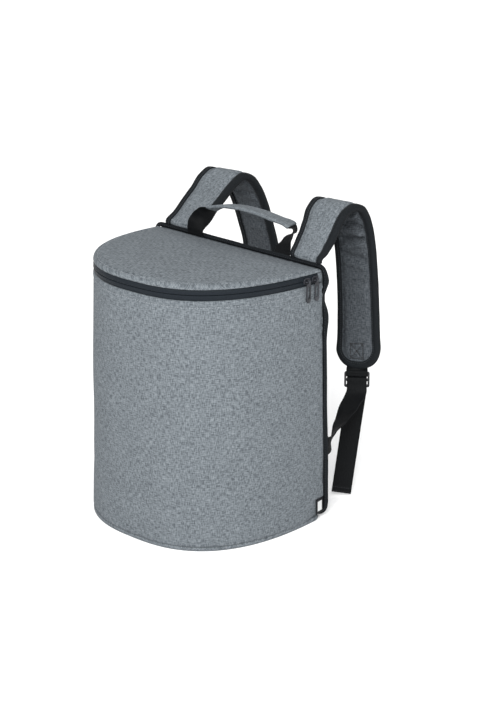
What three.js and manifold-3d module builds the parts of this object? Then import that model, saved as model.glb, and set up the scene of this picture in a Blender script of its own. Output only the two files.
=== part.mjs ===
// Cooler backpack with a D-shaped plan, a zipped lid, two padded shoulder straps and a grab handle.
// Millimetres, +Z up. The origin is on the floor, under the middle of the bag.
// The rounded front faces -Y, the flat back panel and the straps are on the +Y side. The pieces
// are laid out from the back seam, and the whole bag is moved to the origin at the end.

import * as THREE from 'three';
import { mergeVertices } from 'three/addons/utils/BufferGeometryUtils.js';
import Module from 'manifold-3d';

const wasm = await Module();
wasm.setup();

// Driving sizes of the bag
const bagWidth = 270;          // across the lid at the back seam
const bagDepth = 188;          // back seam to the front, at the lid
const bagHeight = 331;         // floor to the top of the zip at the front
const flare = 0.055;           // how much wider the floor plan is than the lid
const lidPower = 2.43;         // squareness of the D-shaped plan at the lid
const floorPower = 2.6;        // and at the floor, where the base fills the corners
const swell = 5;               // the wall swells this much at the front's left, under the lid
const swellSpot = 0.68;        // middle of the swelling and its half length, as shares of the
const swellHalf = 0.26;        // way round the plan from the right back corner
const swellFoot = 50;          // the swelling starts at this height
const seamDrop = 6.9;          // the zip runs this much lower at the back than at the front
const wallThick = 6;           // padded wall
const baseThick = 5;
const backThick = 8;
const lidThick = 6;
const lidBackThick = 2.4;      // the lid is pressed flat where the back seam takes it
const lidEase = 1.5;           // how soon it thickens from there, as a power
const edgeRound = 4;
const cornerRadius = 18;       // lower back corners
const gap = 0.3;               // between neighbouring pieces

// Driving sizes of the binding, the zip and the label
const bindingStand = 6;        // how far the bound seam stands out
const bindingThick = 3;
const tapeWidth = 6.5;
const tapeThick = 1.2;
const tapeInset = 0.8;         // tape face behind the face of the wall
const coilHeight = 4.4;
const coilThick = 2;
const zipStart = 7.6;          // from the back seam to the end of the zip
const endPanelThick = 3;
const sliderSpots = [28.5, 13.6];
const sliderLength = 11;
const sliderHeight = 8.4;
const sliderThick = 1.5;
const crownBar = 1.6;
const knuckleRadius = 2.2;
const knuckleWidth = 4;
const pullLength = 25;
const pullWidth = 7.6;
const pullThick = 1.2;
const pullRim = 1.9;
const labelWidth = 12;
const labelHeight = 20;
const labelThick = 0.8;
const labelLevel = 20;

// Driving sizes of the straps, the webbing and the handle
const strapWidth = 62;
const strapThick = 10;
const strapInwards = 36;       // from the side of the bag to the middle of a strap
const strapCentre = bagWidth / 2 - strapInwards;
const strapSpread = 28;        // the lower end stands this much further out, on the right
const strapRise = 54;          // arch above the bound seam
const strapReach = 104;        // arch and fall behind the back seam
const strapEndLevel = 172;     // lower end of the pad
const strapEndRound = 27;
const edgeTape = 9;            // binding of the strap, seen width
const edgeTapeThick = 1.2;
const webWidth = 25;
const webThick = 1.4;
const tabLevel = 97;           // middle of the webbing in the side seam
const buckleWidth = 32;
const buckleHeight = 20;
const buckleThick = 4;
const buckleBar = 3.2;
const buckleDrop = 4;          // pad end to the top of the buckle
const webStandOff = 4;            // the adjuster stands out this far before it turns
const webDrape = 1.5;          // it passes this much further behind the buckle's low edge
const webEnter = 5;            // and starts to follow the buckle this far under it
const tailLeave = 4;           // the tail leaves the buckle's face this far under it
const tailHem = 9;             // folded end of the tail
const handleInwards = 61;      // from the side of the bag to each handle foot
const handleSpan = bagWidth / 2 - handleInwards;
const handleRise = 45;         // above the bound seam
const handleStep = 3.8;        // feet in front of or behind the strap bases
const handleLean = 20;         // grip behind the back seam
const sleeveThick = 1;
const sleeveHalf = 62;         // half the length of the grip sleeve

// Colours
const heather = 0x868d92;
const binding = 0x252b31;
const webbing = 0x121315;
const metal = 0x5c5f64;

const bag = new THREE.Group();

function addMesh(name, geometry, colour, roughness = 0.9, metalness = 0, parent = bag) {
  const material = new THREE.MeshStandardMaterial({ color: colour, roughness, metalness });
  const mesh = new THREE.Mesh(geometry, material);
  mesh.name = name;
  parent.add(mesh);
  return mesh;
}

function toSolid(geometry) {
  const bare = geometry.clone();
  bare.deleteAttribute('normal');
  bare.deleteAttribute('uv');
  const merged = mergeVertices(bare, 1e-4);
  return new wasm.Manifold(new wasm.Mesh({
    numProp: 3,
    vertProperties: new Float32Array(merged.attributes.position.array),
    triVerts: new Uint32Array(merged.index.array),
  }));
}

function toGeometry(solid) {
  const mesh = solid.getMesh();
  const geometry = new THREE.BufferGeometry();
  geometry.setAttribute('position', new THREE.BufferAttribute(new Float32Array(mesh.vertProperties), 3));
  geometry.setIndex(new THREE.BufferAttribute(new Uint32Array(mesh.triVerts), 1));
  return geometry;
}

// Closed solid through a row of rings with as many points each. Each end is capped with the
// triangles of a flat outline, or narrows to a single point.
function loft(rings, capOutline = null) {
  const count = rings[0].length;
  const positions = rings.flat().flatMap((p) => [p.x, p.y, p.z]);
  const faces = [];
  for (let i = 0; i + 1 < rings.length; i += 1) {
    for (let j = 0; j < count; j += 1) {
      const next = (j + 1) % count;
      const a = i * count + j;
      const b = i * count + next;
      faces.push(a, b, b + count, a, b + count, a + count);
    }
  }
  const last = (rings.length - 1) * count;
  if (capOutline) {
    for (const [a, b, c] of THREE.ShapeUtils.triangulateShape(capOutline, [])) {
      faces.push(a, c, b, last + a, last + b, last + c);
    }
  } else {
    for (const start of [0, last]) {
      const middle = positions.length / 3;
      const ring = rings[start / count];
      const centre = ring.reduce((sum, p) => sum.add(p), new THREE.Vector3()).divideScalar(count);
      positions.push(centre.x, centre.y, centre.z);
      for (let j = 0; j < count; j += 1) {
        const a = start + j;
        const b = start + ((j + 1) % count);
        faces.push(...(start === 0 ? [a, middle, b] : [a, b, middle]));
      }
    }
  }
  let geometry = new THREE.BufferGeometry();
  geometry.setAttribute('position', new THREE.Float32BufferAttribute(positions, 3));
  geometry.setIndex(faces);
  if (signedVolume(geometry) < 0) {
    for (let i = 0; i < faces.length; i += 3) [faces[i], faces[i + 1]] = [faces[i + 1], faces[i]];
    geometry.setIndex(faces);
  }
  geometry = mergeVertices(geometry, 1e-4);
  return geometry;
}

function signedVolume(geometry) {
  const { position } = geometry.attributes;
  const at = (i) => new THREE.Vector3().fromBufferAttribute(position, geometry.index.array[i]);
  let sum = 0;
  for (let i = 0; i < geometry.index.count; i += 3) sum += at(i).dot(at(i + 1).cross(at(i + 2)));
  return sum / 6;
}

// The D-shaped plan, walked from the right back corner round the front to the left one
const planSteps = 360;

function planCurve(power) {
  return Array.from({ length: planSteps + 1 }, (_, i) => {
    const turn = Math.PI * i / planSteps;
    const c = Math.cos(turn);
    const s = Math.sin(turn);
    return new THREE.Vector2(
      bagWidth / 2 * Math.sign(c) * Math.abs(c) ** (2 / power),
      -bagDepth * Math.abs(s) ** (2 / power),
    );
  });
}

const lidPlan = planCurve(lidPower);
const floorPlan = planCurve(floorPower);
const planRun = lidPlan.map(() => 0);
for (let i = 1; i <= planSteps; i += 1) planRun[i] = planRun[i - 1] + lidPlan[i].distanceTo(lidPlan[i - 1]);
const planLength = planRun[planSteps];

// How far the wall swells outwards at a run along the lid's edge and a height
function swellAt(run, z) {
  const beside = Math.abs(run / planLength - swellSpot) / swellHalf;
  const high = THREE.MathUtils.smoothstep(z, swellFoot, bagHeight);
  return swell * Math.cos(Math.PI / 2 * Math.min(beside, 1)) ** 2 * high;
}

// Point and outward direction of the plan at a run along the lid's edge and a height
function planAt(run, z = bagHeight) {
  const along = THREE.MathUtils.clamp(run, 0, planLength);
  let i = 1;
  while (i < planSteps && planRun[i] < along) i += 1;
  const share = (along - planRun[i - 1]) / (planRun[i] - planRun[i - 1]);
  const low = 1 - z / bagHeight;
  const corner = (k) => lidPlan[k].clone().lerp(floorPlan[k], low);
  const point = corner(i - 1).lerp(corner(i), share);
  const tangent = corner(Math.min(i + 3, planSteps)).sub(corner(Math.max(i - 4, 0))).normalize();
  if (along < 3) tangent.set(0, -1);
  if (along > planLength - 3) tangent.set(0, 1);
  const out = new THREE.Vector2(-tangent.y, tangent.x);
  point.addScaledVector(out, swellAt(along, z));
  return { point, out };
}

const flareAt = (z) => 1 + flare * (1 - z / bagHeight);
const partingAt = (y) => bagHeight - seamDrop * THREE.MathUtils.clamp(1 + y / bagDepth, 0, 1) ** 2;

// How far the lower back corners are drawn in, as a rounded corner of the back panel
function cornerPull(run, z) {
  const fromBack = Math.min(run, planLength - run);
  const near = THREE.MathUtils.clamp(1 - fromBack / (cornerRadius * 2), 0, 1);
  const rise = THREE.MathUtils.clamp(z, 0, cornerRadius);
  return near ** 2 * (cornerRadius - Math.sqrt(cornerRadius ** 2 - (cornerRadius - rise) ** 2));
}

// Point on the outer face of the wall, moved outwards by out
function wallPoint(run, z, out) {
  const { point, out: normal } = planAt(run, z);
  const scale = flareAt(z);
  const away = out - cornerPull(run, z);
  return new THREE.Vector3(point.x * scale + normal.x * away, point.y * scale + normal.y * away, z);
}

// Solid swept round the wall: section gives [level, out] pairs for the plan point at each run
function roundWall(runs, section) {
  const outline = section(runs[0]).map(([level, out]) => new THREE.Vector2(out, level));
  return loft(runs.map((run) => section(run).map(([level, out]) => wallPoint(run, level, out))), outline);
}

function spread(from, to, count) {
  return Array.from({ length: count + 1 }, (_, i) => from + (to - from) * i / count);
}

// Heights of the zip band at one place of the plan
const zipBand = 2 * tapeWidth + gap;
const levelsAt = (run) => {
  const top = partingAt(planAt(run).point.y);
  return { top, middle: top - tapeWidth - gap / 2, bottom: top - zipBand };
};

function makeFrontPanel() {
  const runs = spread(0, planLength, 52);
  const soft = edgeRound / 2;
  return roundWall(runs, (run) => {
    const low = baseThick + gap;
    const high = levelsAt(run).bottom - gap;
    const third = (high - low) / 3;
    return [
      [low, -wallThick],
      [low, -soft],
      [low + soft, 0],
      [cornerRadius, 0],
      [low + third, 0],
      [high - third, 0],
      [high - soft, 0],
      [high, -soft],
      [high, -wallThick],
      [high - third, -wallThick],
      [cornerRadius, -wallThick],
    ];
  });
}

// Closed rings of the plan with rounded back corners, drawn in by an inset share
function planRings(count, backCorner, z) {
  const runs = spread(0, planLength, count);
  const front = runs.map((run) => planAt(run, z).point);
  const backSteps = 6;
  const half = bagWidth / 2;
  const back = spread(-half, half, backSteps).slice(1, -1).map((x) => new THREE.Vector2(x, 0));
  return [...front, ...back].map((p) => {
    const over = Math.max(Math.abs(p.x) - (half - backCorner), 0);
    const behind = Math.max(p.y + backCorner, 0);
    const reach = Math.hypot(over, behind);
    const shrink = reach > backCorner ? backCorner / reach : 1;
    const x = Math.sign(p.x) * (Math.abs(p.x) - over + over * shrink);
    return new THREE.Vector2(x, p.y - behind + behind * shrink);
  });
}

function plate(outline, levels) {
  const heart = new THREE.Vector2(0, -bagDepth * 0.45);
  const rings = levels.map(([share, inset, level]) => outline.map((p) => {
    const away = p.clone().sub(heart);
    const reach = Math.max(away.length() - inset, 1);
    const q = away.setLength(reach * share).add(heart);
    return new THREE.Vector3(q.x, q.y, level(q.x, q.y));
  }));
  return loft(rings);
}

function makeBasePanel() {
  const outline = planRings(52, cornerRadius * 0.8, 0).map((p) => p.clone().multiplyScalar(flareAt(0)));
  const soft = baseThick / 2;
  return plate(outline, [
    [0.5, 0, () => 0],
    [1, soft, () => 0],
    [1, 0, () => soft],
    [1, 0, () => baseThick - 1],
    [1, 1, () => baseThick],
    [0.5, 0, () => baseThick],
  ]);
}

function makeLidPanel() {
  const outline = planRings(52, gap, bagHeight);
  const under = (x, y) => partingAt(y) + gap;
  const thickAt = (y) => {
    const behind = THREE.MathUtils.clamp(1 + y / bagDepth, 0, 1);
    return THREE.MathUtils.lerp(lidThick, lidBackThick, behind ** lidEase);
  };
  const over = (share) => (x, y) => partingAt(y) + gap + thickAt(y) * share;
  return plate(outline, [
    [0.4, 0, under],
    [1, edgeRound, under],
    [1, 0.6, under],
    [1, 0, over(0.3)],
    [1, edgeRound * 0.3, over(0.75)],
    [1, edgeRound, over(1)],
    [0.72, 0, over(1.1)],
    [0.36, 0, over(1.2)],
  ]);
}

// Outline of the back panel, seen from behind, moved outwards by grow
function backOutline(grow, topCorner, lowCorner) {
  const low = bindingStand + gap - grow;
  const high = partingAt(0) + lidBackThick + grow;
  const lowHalf = bagWidth / 2 * flareAt(low) + grow;
  const highHalf = bagWidth / 2 * flareAt(high) + grow;
  const shape = new THREE.Shape();
  shape.moveTo(-lowHalf + lowCorner, low);
  shape.lineTo(lowHalf - lowCorner, low);
  shape.quadraticCurveTo(lowHalf, low, lowHalf, low + lowCorner);
  shape.lineTo(highHalf, high - topCorner);
  shape.quadraticCurveTo(highHalf, high, highHalf - topCorner, high);
  shape.lineTo(-highHalf + topCorner, high);
  shape.quadraticCurveTo(-highHalf, high, -highHalf, high - topCorner);
  shape.lineTo(-lowHalf, low + lowCorner);
  shape.quadraticCurveTo(-lowHalf, low, -lowHalf + lowCorner, low);
  return shape;
}

// Extrudes a shape drawn in X and Z from one depth behind the seam to another
function standing(shape, from, to, curveSegments = 5) {
  const depth = to - from;
  const geometry = new THREE.ExtrudeGeometry(shape, { depth, bevelEnabled: false, curveSegments });
  geometry.rotateX(Math.PI / 2);
  geometry.translate(0, to, 0);
  return geometry;
}

const backTopCorner = 8;
const backLowCorner = 9;

function makeBackPanel() {
  return standing(backOutline(0, backTopCorner, backLowCorner), gap, gap + backThick);
}

function makeBackBinding() {
  const shape = backOutline(bindingStand, backTopCorner + bindingStand, cornerRadius + bindingStand);
  shape.holes.push(backOutline(gap, backTopCorner, backLowCorner));
  return standing(shape, gap, gap + bindingThick, 7);
}

// Zip: two tapes side by side, the coil behind them, sliders and pulls near the right end
const zipRuns = spread(zipStart, planLength - zipStart, 44);
const tapeFace = -tapeInset;
const tapeBack = tapeFace - tapeThick;

function makeTape(which) {
  return roundWall(zipRuns, (run) => {
    const { top, middle, bottom } = levelsAt(run);
    const high = which === 'lid' ? top : middle - gap / 2;
    const low = which === 'lid' ? middle + gap / 2 : bottom;
    return [[low, tapeBack], [low, tapeFace], [high, tapeFace], [high, tapeBack]];
  });
}

function makeCoil() {
  return roundWall(zipRuns, (run) => {
    const { middle } = levelsAt(run);
    const face = tapeBack - gap;
    const half = coilHeight / 2;
    return [
      [middle - half, face - coilThick],
      [middle - half, face],
      [middle + half, face],
      [middle + half, face - coilThick],
    ];
  });
}

function makeEndPanel(side) {
  const runs = side > 0 ? spread(0, zipStart - gap, 3) : spread(planLength - zipStart + gap, planLength, 3);
  return roundWall(runs, (run) => {
    const { top, bottom } = levelsAt(run);
    return [[bottom, -endPanelThick - gap], [bottom, -gap], [top, -gap], [top, -endPanelThick - gap]];
  });
}

// Slider and pull share a frame: X along the zip, Y outwards, Z up, origin at the tape face
const plateBack = gap;
const plateFace = plateBack + sliderThick;
const crownHeight = plateFace + gap + knuckleRadius;
const crownHalf = sliderLength / 2 - 1.2;

function makeSlider() {
  const half = sliderLength / 2;
  const tall = sliderHeight / 2;
  const face = new THREE.Shape();
  face.moveTo(-half, -tall * 0.55);
  face.quadraticCurveTo(-half * 0.4, -tall, half * 0.3, -tall);
  face.quadraticCurveTo(half, -tall * 0.9, half, 0);
  face.quadraticCurveTo(half, tall * 0.9, half * 0.3, tall);
  face.quadraticCurveTo(-half * 0.4, tall, -half, tall * 0.55);
  const body = toSolid(standing(face, plateBack, plateFace, 4));
  const arch = new THREE.Shape();
  const top = crownHeight + crownBar / 2;
  const foot = plateFace - sliderThick / 2;
  arch.moveTo(-crownHalf, foot);
  arch.lineTo(crownHalf, foot);
  arch.quadraticCurveTo(crownHalf, top, crownHalf - crownBar, top);
  arch.lineTo(-crownHalf + crownBar, top);
  arch.quadraticCurveTo(-crownHalf, top, -crownHalf, foot);
  const inside = crownHalf - crownBar;
  const under = crownHeight - crownBar / 2;
  const hole = new THREE.Path();
  hole.moveTo(-inside, plateFace);
  hole.lineTo(inside, plateFace);
  hole.lineTo(inside, under);
  hole.lineTo(-inside, under);
  arch.holes.push(hole);
  const crown = new THREE.ExtrudeGeometry(arch, { depth: crownBar, bevelEnabled: false, curveSegments: 4 });
  crown.translate(0, 0, -crownBar / 2);
  return toGeometry(body.add(toSolid(crown)));
}

function makePull() {
  const loose = knuckleRadius - 0.85;
  const ring = new THREE.Shape();
  ring.absarc(0, 0, knuckleRadius, 0, Math.PI * 2);
  const eye = new THREE.Path();
  eye.absarc(0, 0, loose, 0, Math.PI * 2);
  ring.holes.push(eye);
  const knuckle = new THREE.ExtrudeGeometry(ring, {
    depth: knuckleWidth,
    bevelEnabled: false,
    curveSegments: 6,
  });
  knuckle.rotateY(Math.PI / 2);
  knuckle.translate(-knuckleWidth / 2, 0, 0);
  const half = pullWidth / 2;
  const top = -(knuckleRadius + loose) / 2;
  const shoulder = -knuckleRadius - 3;
  const tip = top - pullLength;
  const blade = new THREE.Shape();
  blade.moveTo(-knuckleWidth / 2, top);
  blade.lineTo(-half, shoulder);
  blade.lineTo(-half, tip + half);
  blade.absarc(0, tip + half, half, Math.PI, Math.PI * 2);
  blade.lineTo(half, shoulder);
  blade.lineTo(knuckleWidth / 2, top);
  const slotHalf = half - pullRim;
  const slot = new THREE.Path();
  slot.moveTo(-slotHalf, shoulder - pullRim);
  slot.lineTo(slotHalf, shoulder - pullRim);
  slot.lineTo(slotHalf, tip + half + pullRim);
  slot.lineTo(-slotHalf, tip + half + pullRim);
  blade.holes.push(slot);
  const plateOfPull = standing(blade, -pullThick / 2, pullThick / 2, 4);
  const solid = toSolid(knuckle).add(toSolid(plateOfPull));
  return toGeometry(solid);
}

function addZip() {
  addMesh('zip_tape_lid', makeTape('lid'), binding, 0.8);
  addMesh('zip_tape_body', makeTape('body'), binding, 0.8);
  addMesh('zip_coil', makeCoil(), webbing, 0.6);
  addMesh('zip_end_panel_right', makeEndPanel(1), heather);
  addMesh('zip_end_panel_left', makeEndPanel(-1), heather);
  sliderSpots.forEach((spot, i) => {
    const place = new THREE.Group();
    const { middle } = levelsAt(spot);
    const { out } = planAt(spot);
    place.position.copy(wallPoint(spot, middle, tapeFace));
    place.rotation.z = Math.atan2(-out.x, out.y);
    bag.add(place);
    addMesh(`zip_slider_${i + 1}`, makeSlider(), metal, 0.4, 0.9, place);
    const pull = addMesh(`zip_pull_${i + 1}`, makePull(), metal, 0.4, 0.9, place);
    pull.position.y = crownHeight;
  });
}

// Bands of cloth and webbing. A band is a smooth line of middle points with the direction
// across it at each point, so that pieces on it are placed by run, across and rise.
class Band {
  constructor(stations) {
    this.middle = new THREE.CatmullRomCurve3(stations.map((s) => s.at), false, 'centripetal');
    this.stations = stations;
    this.samples = 24 * (stations.length - 1);
    this.runs = [0];
    for (let i = 1; i <= this.samples; i += 1) {
      const before = this.middle.getPoint((i - 1) / this.samples);
      const step = this.middle.getPoint(i / this.samples).distanceTo(before);
      this.runs.push(this.runs[i - 1] + step);
    }
    this.length = this.runs[this.samples];
  }

  frame(run) {
    const along = THREE.MathUtils.clamp(run, 0, this.length);
    let i = 1;
    while (i < this.samples && this.runs[i] < along) i += 1;
    const t = (i - 1 + (along - this.runs[i - 1]) / (this.runs[i] - this.runs[i - 1])) / this.samples;
    const at = this.middle.getPoint(t);
    const tangent = this.middle.getTangent(t);
    const spot = Math.min(t * (this.stations.length - 1), this.stations.length - 1.001);
    const before = this.stations[Math.floor(spot)];
    const after = this.stations[Math.floor(spot) + 1];
    const part = THREE.MathUtils.smoothstep(spot % 1, 0, 1);
    const across = before.across.clone().lerp(after.across, part);
    across.addScaledVector(tangent, -across.dot(tangent)).normalize();
    const wide = (before.wide ?? 1) * (1 - part) + (after.wide ?? 1) * part;
    return { at, tangent, across, up: new THREE.Vector3().crossVectors(across, tangent), wide };
  }

  point(run, across, rise) {
    const f = this.frame(run);
    const extra = run - THREE.MathUtils.clamp(run, 0, this.length);
    f.at.addScaledVector(f.across, across * f.wide).addScaledVector(f.up, rise);
    return f.at.addScaledVector(f.tangent, extra);
  }

  // Run at which the band passes one of its stations
  runOf(station) {
    return this.runs[Math.round(station / (this.stations.length - 1) * this.samples)];
  }

  // Sweeps a section of [across, rise] points; sectionAt gives it at each run
  sweep(runs, sectionAt) {
    return loft(runs.map((run) => sectionAt(run).map(([a, r]) => this.point(run, a, r))));
  }
}

const seamTop = partingAt(0) + lidBackThick + bindingStand;   // upper edge of the bound seam
const seamMiddle = gap + bindingThick / 2;

// Level direction across a strap that is turned by a number of degrees
function crossed(yaw) {
  const turn = THREE.MathUtils.degToRad(yaw);
  return new THREE.Vector3(Math.cos(turn), -Math.sin(turn), 0);
}

// Route of each strap. side: share of the spread outwards. reach: share of the reach behind the seam.
// level: share of the rise over the seam, or under 0 of the fall to the end. wide: share of the
// width. yaw: degrees that the strap is turned by.
const strapRoutes = {
  right: [
    { side: 0.36, reach: 0.00, level: 0.00, wide: 0.76, yaw: 0 },
    { side: 0.36, reach: 0.00, level: 0.07, wide: 0.78, yaw: 0 },
    { side: 0.29, reach: 0.11, level: 0.20, wide: 0.83, yaw: 2 },
    { side: 0.21, reach: 0.24, level: 0.40, wide: 0.90, yaw: 4 },
    { side: 0.18, reach: 0.33, level: 0.62, wide: 0.94, yaw: 4 },
    { side: 0.14, reach: 0.44, level: 0.88, wide: 0.97, yaw: 0 },
    { side: 0.11, reach: 0.60, level: 1.00, wide: 1.00, yaw: -5 },
    { side: 0.11, reach: 0.76, level: 0.90, wide: 1.00, yaw: -6 },
    { side: 0.11, reach: 0.86, level: 0.68, wide: 1.00, yaw: -5 },
    { side: 0.14, reach: 0.93, level: 0.36, wide: 1.00, yaw: -4 },
    { side: 0.18, reach: 0.98, level: -0.03, wide: 1.00, yaw: -3 },
    { side: 0.25, reach: 1.00, level: -0.20, wide: 1.00, yaw: -2 },
    { side: 0.43, reach: 0.98, level: -0.45, wide: 1.00, yaw: -2 },
    { side: 0.71, reach: 0.91, level: -0.76, wide: 1.00, yaw: -4 },
    { side: 0.88, reach: 0.85, level: -0.89, wide: 0.99, yaw: -10 },
    { side: 0.98, reach: 0.80, level: -1.00, wide: 0.97, yaw: -17 },
  ],
  left: [
    { side: -0.30, reach: 0.00, level: 0.00, wide: 1.00, yaw: 0 },
    { side: -0.30, reach: 0.00, level: 0.07, wide: 1.00, yaw: 0 },
    { side: -0.29, reach: 0.13, level: 0.18, wide: 1.00, yaw: 3 },
    { side: -0.22, reach: 0.30, level: 0.39, wide: 1.00, yaw: 5 },
    { side: -0.14, reach: 0.51, level: 0.62, wide: 1.00, yaw: 2 },
    { side: -0.07, reach: 0.69, level: 0.83, wide: 1.00, yaw: -6 },
    { side: -0.04, reach: 0.86, level: 0.93, wide: 1.00, yaw: -8 },
    { side: -0.04, reach: 1.02, level: 0.80, wide: 1.00, yaw: -6 },
    { side: -0.07, reach: 1.16, level: 0.50, wide: 1.00, yaw: -3 },
    { side: -0.11, reach: 1.28, level: 0.08, wide: 1.00, yaw: 0 },
    { side: -0.18, reach: 1.38, level: -0.17, wide: 1.00, yaw: 2 },
    { side: -0.29, reach: 1.45, level: -0.37, wide: 1.00, yaw: 3 },
    { side: -0.29, reach: 1.46, level: -0.62, wide: 1.00, yaw: 4 },
    { side: -0.14, reach: 1.40, level: -0.82, wide: 1.00, yaw: 8 },
    { side: 0.00, reach: 1.32, level: -1.00, wide: 1.00, yaw: 14 },
  ],
};

function strapBand(side) {
  const hand = side === 'right' ? 1 : -1;
  const start = seamTop + gap * 2;
  const stations = strapRoutes[side].map(({ side: spreadOut, reach, level, wide, yaw }) => ({
    at: new THREE.Vector3(
      hand * (strapCentre + strapSpread * spreadOut),
      seamMiddle + strapReach * reach,
      level >= 0 ? start + strapRise * level : start + (start - strapEndLevel) * level,
    ),
    across: crossed(yaw),
    wide,
  }));
  return new Band(stations);
}

// Half width of a strap at a run: straight, then rounded at the lower end
function strapHalf(run, length, inset) {
  const past = Math.max(run - (length - strapEndRound), 0);
  return strapWidth / 2 - strapEndRound + Math.sqrt(Math.max((strapEndRound - inset) ** 2 - past ** 2, 0));
}

// Half thickness of a strap at its middle: pressed flat in the back seam, full after a short run
function strapFull(run) {
  const pressed = 0.4;
  return strapThick / 2 * (pressed + (1 - pressed) * THREE.MathUtils.smoothstep(run, 0, strapThick * 2.4));
}

const edgePress = 0.55;                        // padding under the binding, share of the full thickness
const padGap = 0.5;                            // between padding and binding, which are faceted apart
const padInset = edgeTapeThick + padGap;
const underTape = edgeTape + padGap;            // pressed zone, from the edge of the strap inwards
const puffRun = 5;                             // from the binding to the full thickness
const edgeSlope = 2;                           // the rounded edge rises over this run
const padSteps = 19;

// Distance from the edge of a strap inwards
function strapDepth(run, across, length) {
  const past = run - (length - strapEndRound);
  const beside = Math.abs(across) - (strapWidth / 2 - strapEndRound);
  if (past > 0 && beside > 0) return strapEndRound - Math.hypot(past, beside);
  return past > 0 ? strapEndRound - past : strapWidth / 2 - Math.abs(across);
}

function makeStrapPad(band) {
  const { length } = band;
  const straight = length - strapEndRound;
  const tip = strapEndRound - padInset;
  const runs = [
    ...spread(0, straight, padSteps),
    ...[0.16, 0.36, 0.52, 0.6].map((share) => straight + strapEndRound * share),
    ...[0.72, 0.84, 0.93, 0.98].map((share) => straight + tip * share),
  ];
  return band.sweep(runs, (run) => {
    const half = strapHalf(run, length, padInset);
    const press = half - underTape + padInset;
    const steps = [half, half - edgeSlope, press, press - puffRun, 0];
    const across = steps.map((a, i) => Math.max(a, half * (1 - i / 4)));
    const rise = across.map((a) => {
      const depth = strapDepth(run, a, length);
      const open = THREE.MathUtils.smoothstep(depth, underTape + 1, underTape + puffRun);
      const rim = THREE.MathUtils.clamp((depth - padInset) / edgeSlope, 0, 1);
      return strapFull(run) * THREE.MathUtils.lerp(edgePress * (1 + rim) / 2, 1, open);
    });
    const upper = across.map((a, i) => [a, rise[i]]);
    const lower = across.map((a, i) => [a, -rise[i]]);
    const mirror = (list) => list.map(([a, r]) => [-a, r]);
    return [
      ...lower,
      ...mirror(lower).slice(0, -1).reverse(),
      ...mirror(upper),
      ...upper.slice(0, -1).reverse(),
    ];
  });
}

// Section of the binding: distance inwards from the edge, and rise
function bindingSection(run) {
  const t = edgeTapeThick;
  const inner = strapFull(run) * edgePress + padGap;
  const outer = inner + t;
  const slim = inner / 2;
  return [
    [0, -slim],
    [edgeSlope, -outer],
    [edgeTape, -outer],
    [edgeTape, -inner],
    [edgeSlope + t - gap, -inner],
    [t, -slim],
    [t, slim],
    [edgeSlope + t - gap, inner],
    [edgeTape, inner],
    [edgeTape, outer],
    [edgeSlope, outer],
    [0, slim],
  ];
}

// Binding round the edge of a strap: down one side, round the end and up the other
function makeStrapBinding(band) {
  const { length } = band;
  const half = strapWidth / 2;
  const straight = length - strapEndRound;
  const path = [
    ...spread(0, straight, padSteps).map((run) => ({ run, across: -half, turn: Math.PI })),
    ...spread(Math.PI, Math.PI / 2, 6).slice(1).map((turn) => ({ turn, hand: -1 })),
    ...spread(Math.PI / 2, 0, 6).map((turn) => ({ turn, hand: 1 })),
    ...spread(straight, 0, padSteps).slice(1).map((run) => ({ run, across: half, turn: 0 })),
  ];
  const rings = path.map(({ run, across, turn, hand }) => {
    const along = hand ? straight + strapEndRound * Math.sin(turn) : run;
    const beside = hand ? hand * (half - strapEndRound) + strapEndRound * Math.cos(turn) : across;
    return bindingSection(along).map(([inwards, rise]) => band.point(
      along - inwards * Math.sin(turn),
      beside - inwards * Math.cos(turn),
      rise,
    ));
  });
  return loft(rings, bindingSection(length).map(([a, r]) => new THREE.Vector2(a, r)));
}

function webSection(half, thick) {
  const rise = thick / 2;
  return [[-half, -rise], [half, -rise], [half, rise], [-half, rise]];
}

// Frame of a buckle: X across, Y out of its face, Z towards the strap, origin in its middle
function buckleFrame(side, band) {
  const end = band.frame(band.length);
  const yaw = side === 'right' ? -38 : 22;
  const across = crossed(yaw);
  const up = end.tangent.clone().negate().lerp(new THREE.Vector3(0, 0, 1), 0.5);
  up.addScaledVector(across, -up.dot(across)).normalize();
  const face = new THREE.Vector3().crossVectors(up, across);
  const at = end.at.clone().addScaledVector(up, -buckleDrop - buckleHeight / 2);
  return {
    matrix: new THREE.Matrix4().makeBasis(across, face, up).setPosition(at),
    across,
    face,
    up,
    point: (x, y, z) => at.clone().addScaledVector(across, x).addScaledVector(face, y).addScaledVector(up, z),
  };
}

// Levels of the bars of the buckle, from its middle
const barTop = buckleHeight / 2 - buckleBar / 2;
const barMiddle = -0.5;
const barLow = -buckleHeight / 2 + buckleBar / 2;

function makeBuckle() {
  const half = buckleWidth / 2;
  const tall = buckleHeight / 2;
  const round = 3;
  const shape = new THREE.Shape();
  shape.moveTo(-half + round, -tall);
  shape.lineTo(half - round, -tall);
  shape.quadraticCurveTo(half, -tall, half, -tall + round);
  shape.lineTo(half, tall - round);
  shape.quadraticCurveTo(half, tall, half - round, tall);
  shape.lineTo(-half + round, tall);
  shape.quadraticCurveTo(-half, tall, -half, tall - round);
  shape.lineTo(-half, -tall + round);
  shape.quadraticCurveTo(-half, -tall, -half + round, -tall);
  const slotHalf = webWidth / 2 + 1;
  for (const [low, high] of [[barLow, barMiddle], [barMiddle, barTop]]) {
    const slot = new THREE.Path();
    slot.moveTo(-slotHalf, low + buckleBar / 2);
    slot.lineTo(slotHalf, low + buckleBar / 2);
    slot.lineTo(slotHalf, high - buckleBar / 2);
    slot.lineTo(-slotHalf, high - buckleBar / 2);
    shape.holes.push(slot);
  }
  return standing(shape, -buckleThick / 2, buckleThick / 2, 3);
}

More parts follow.
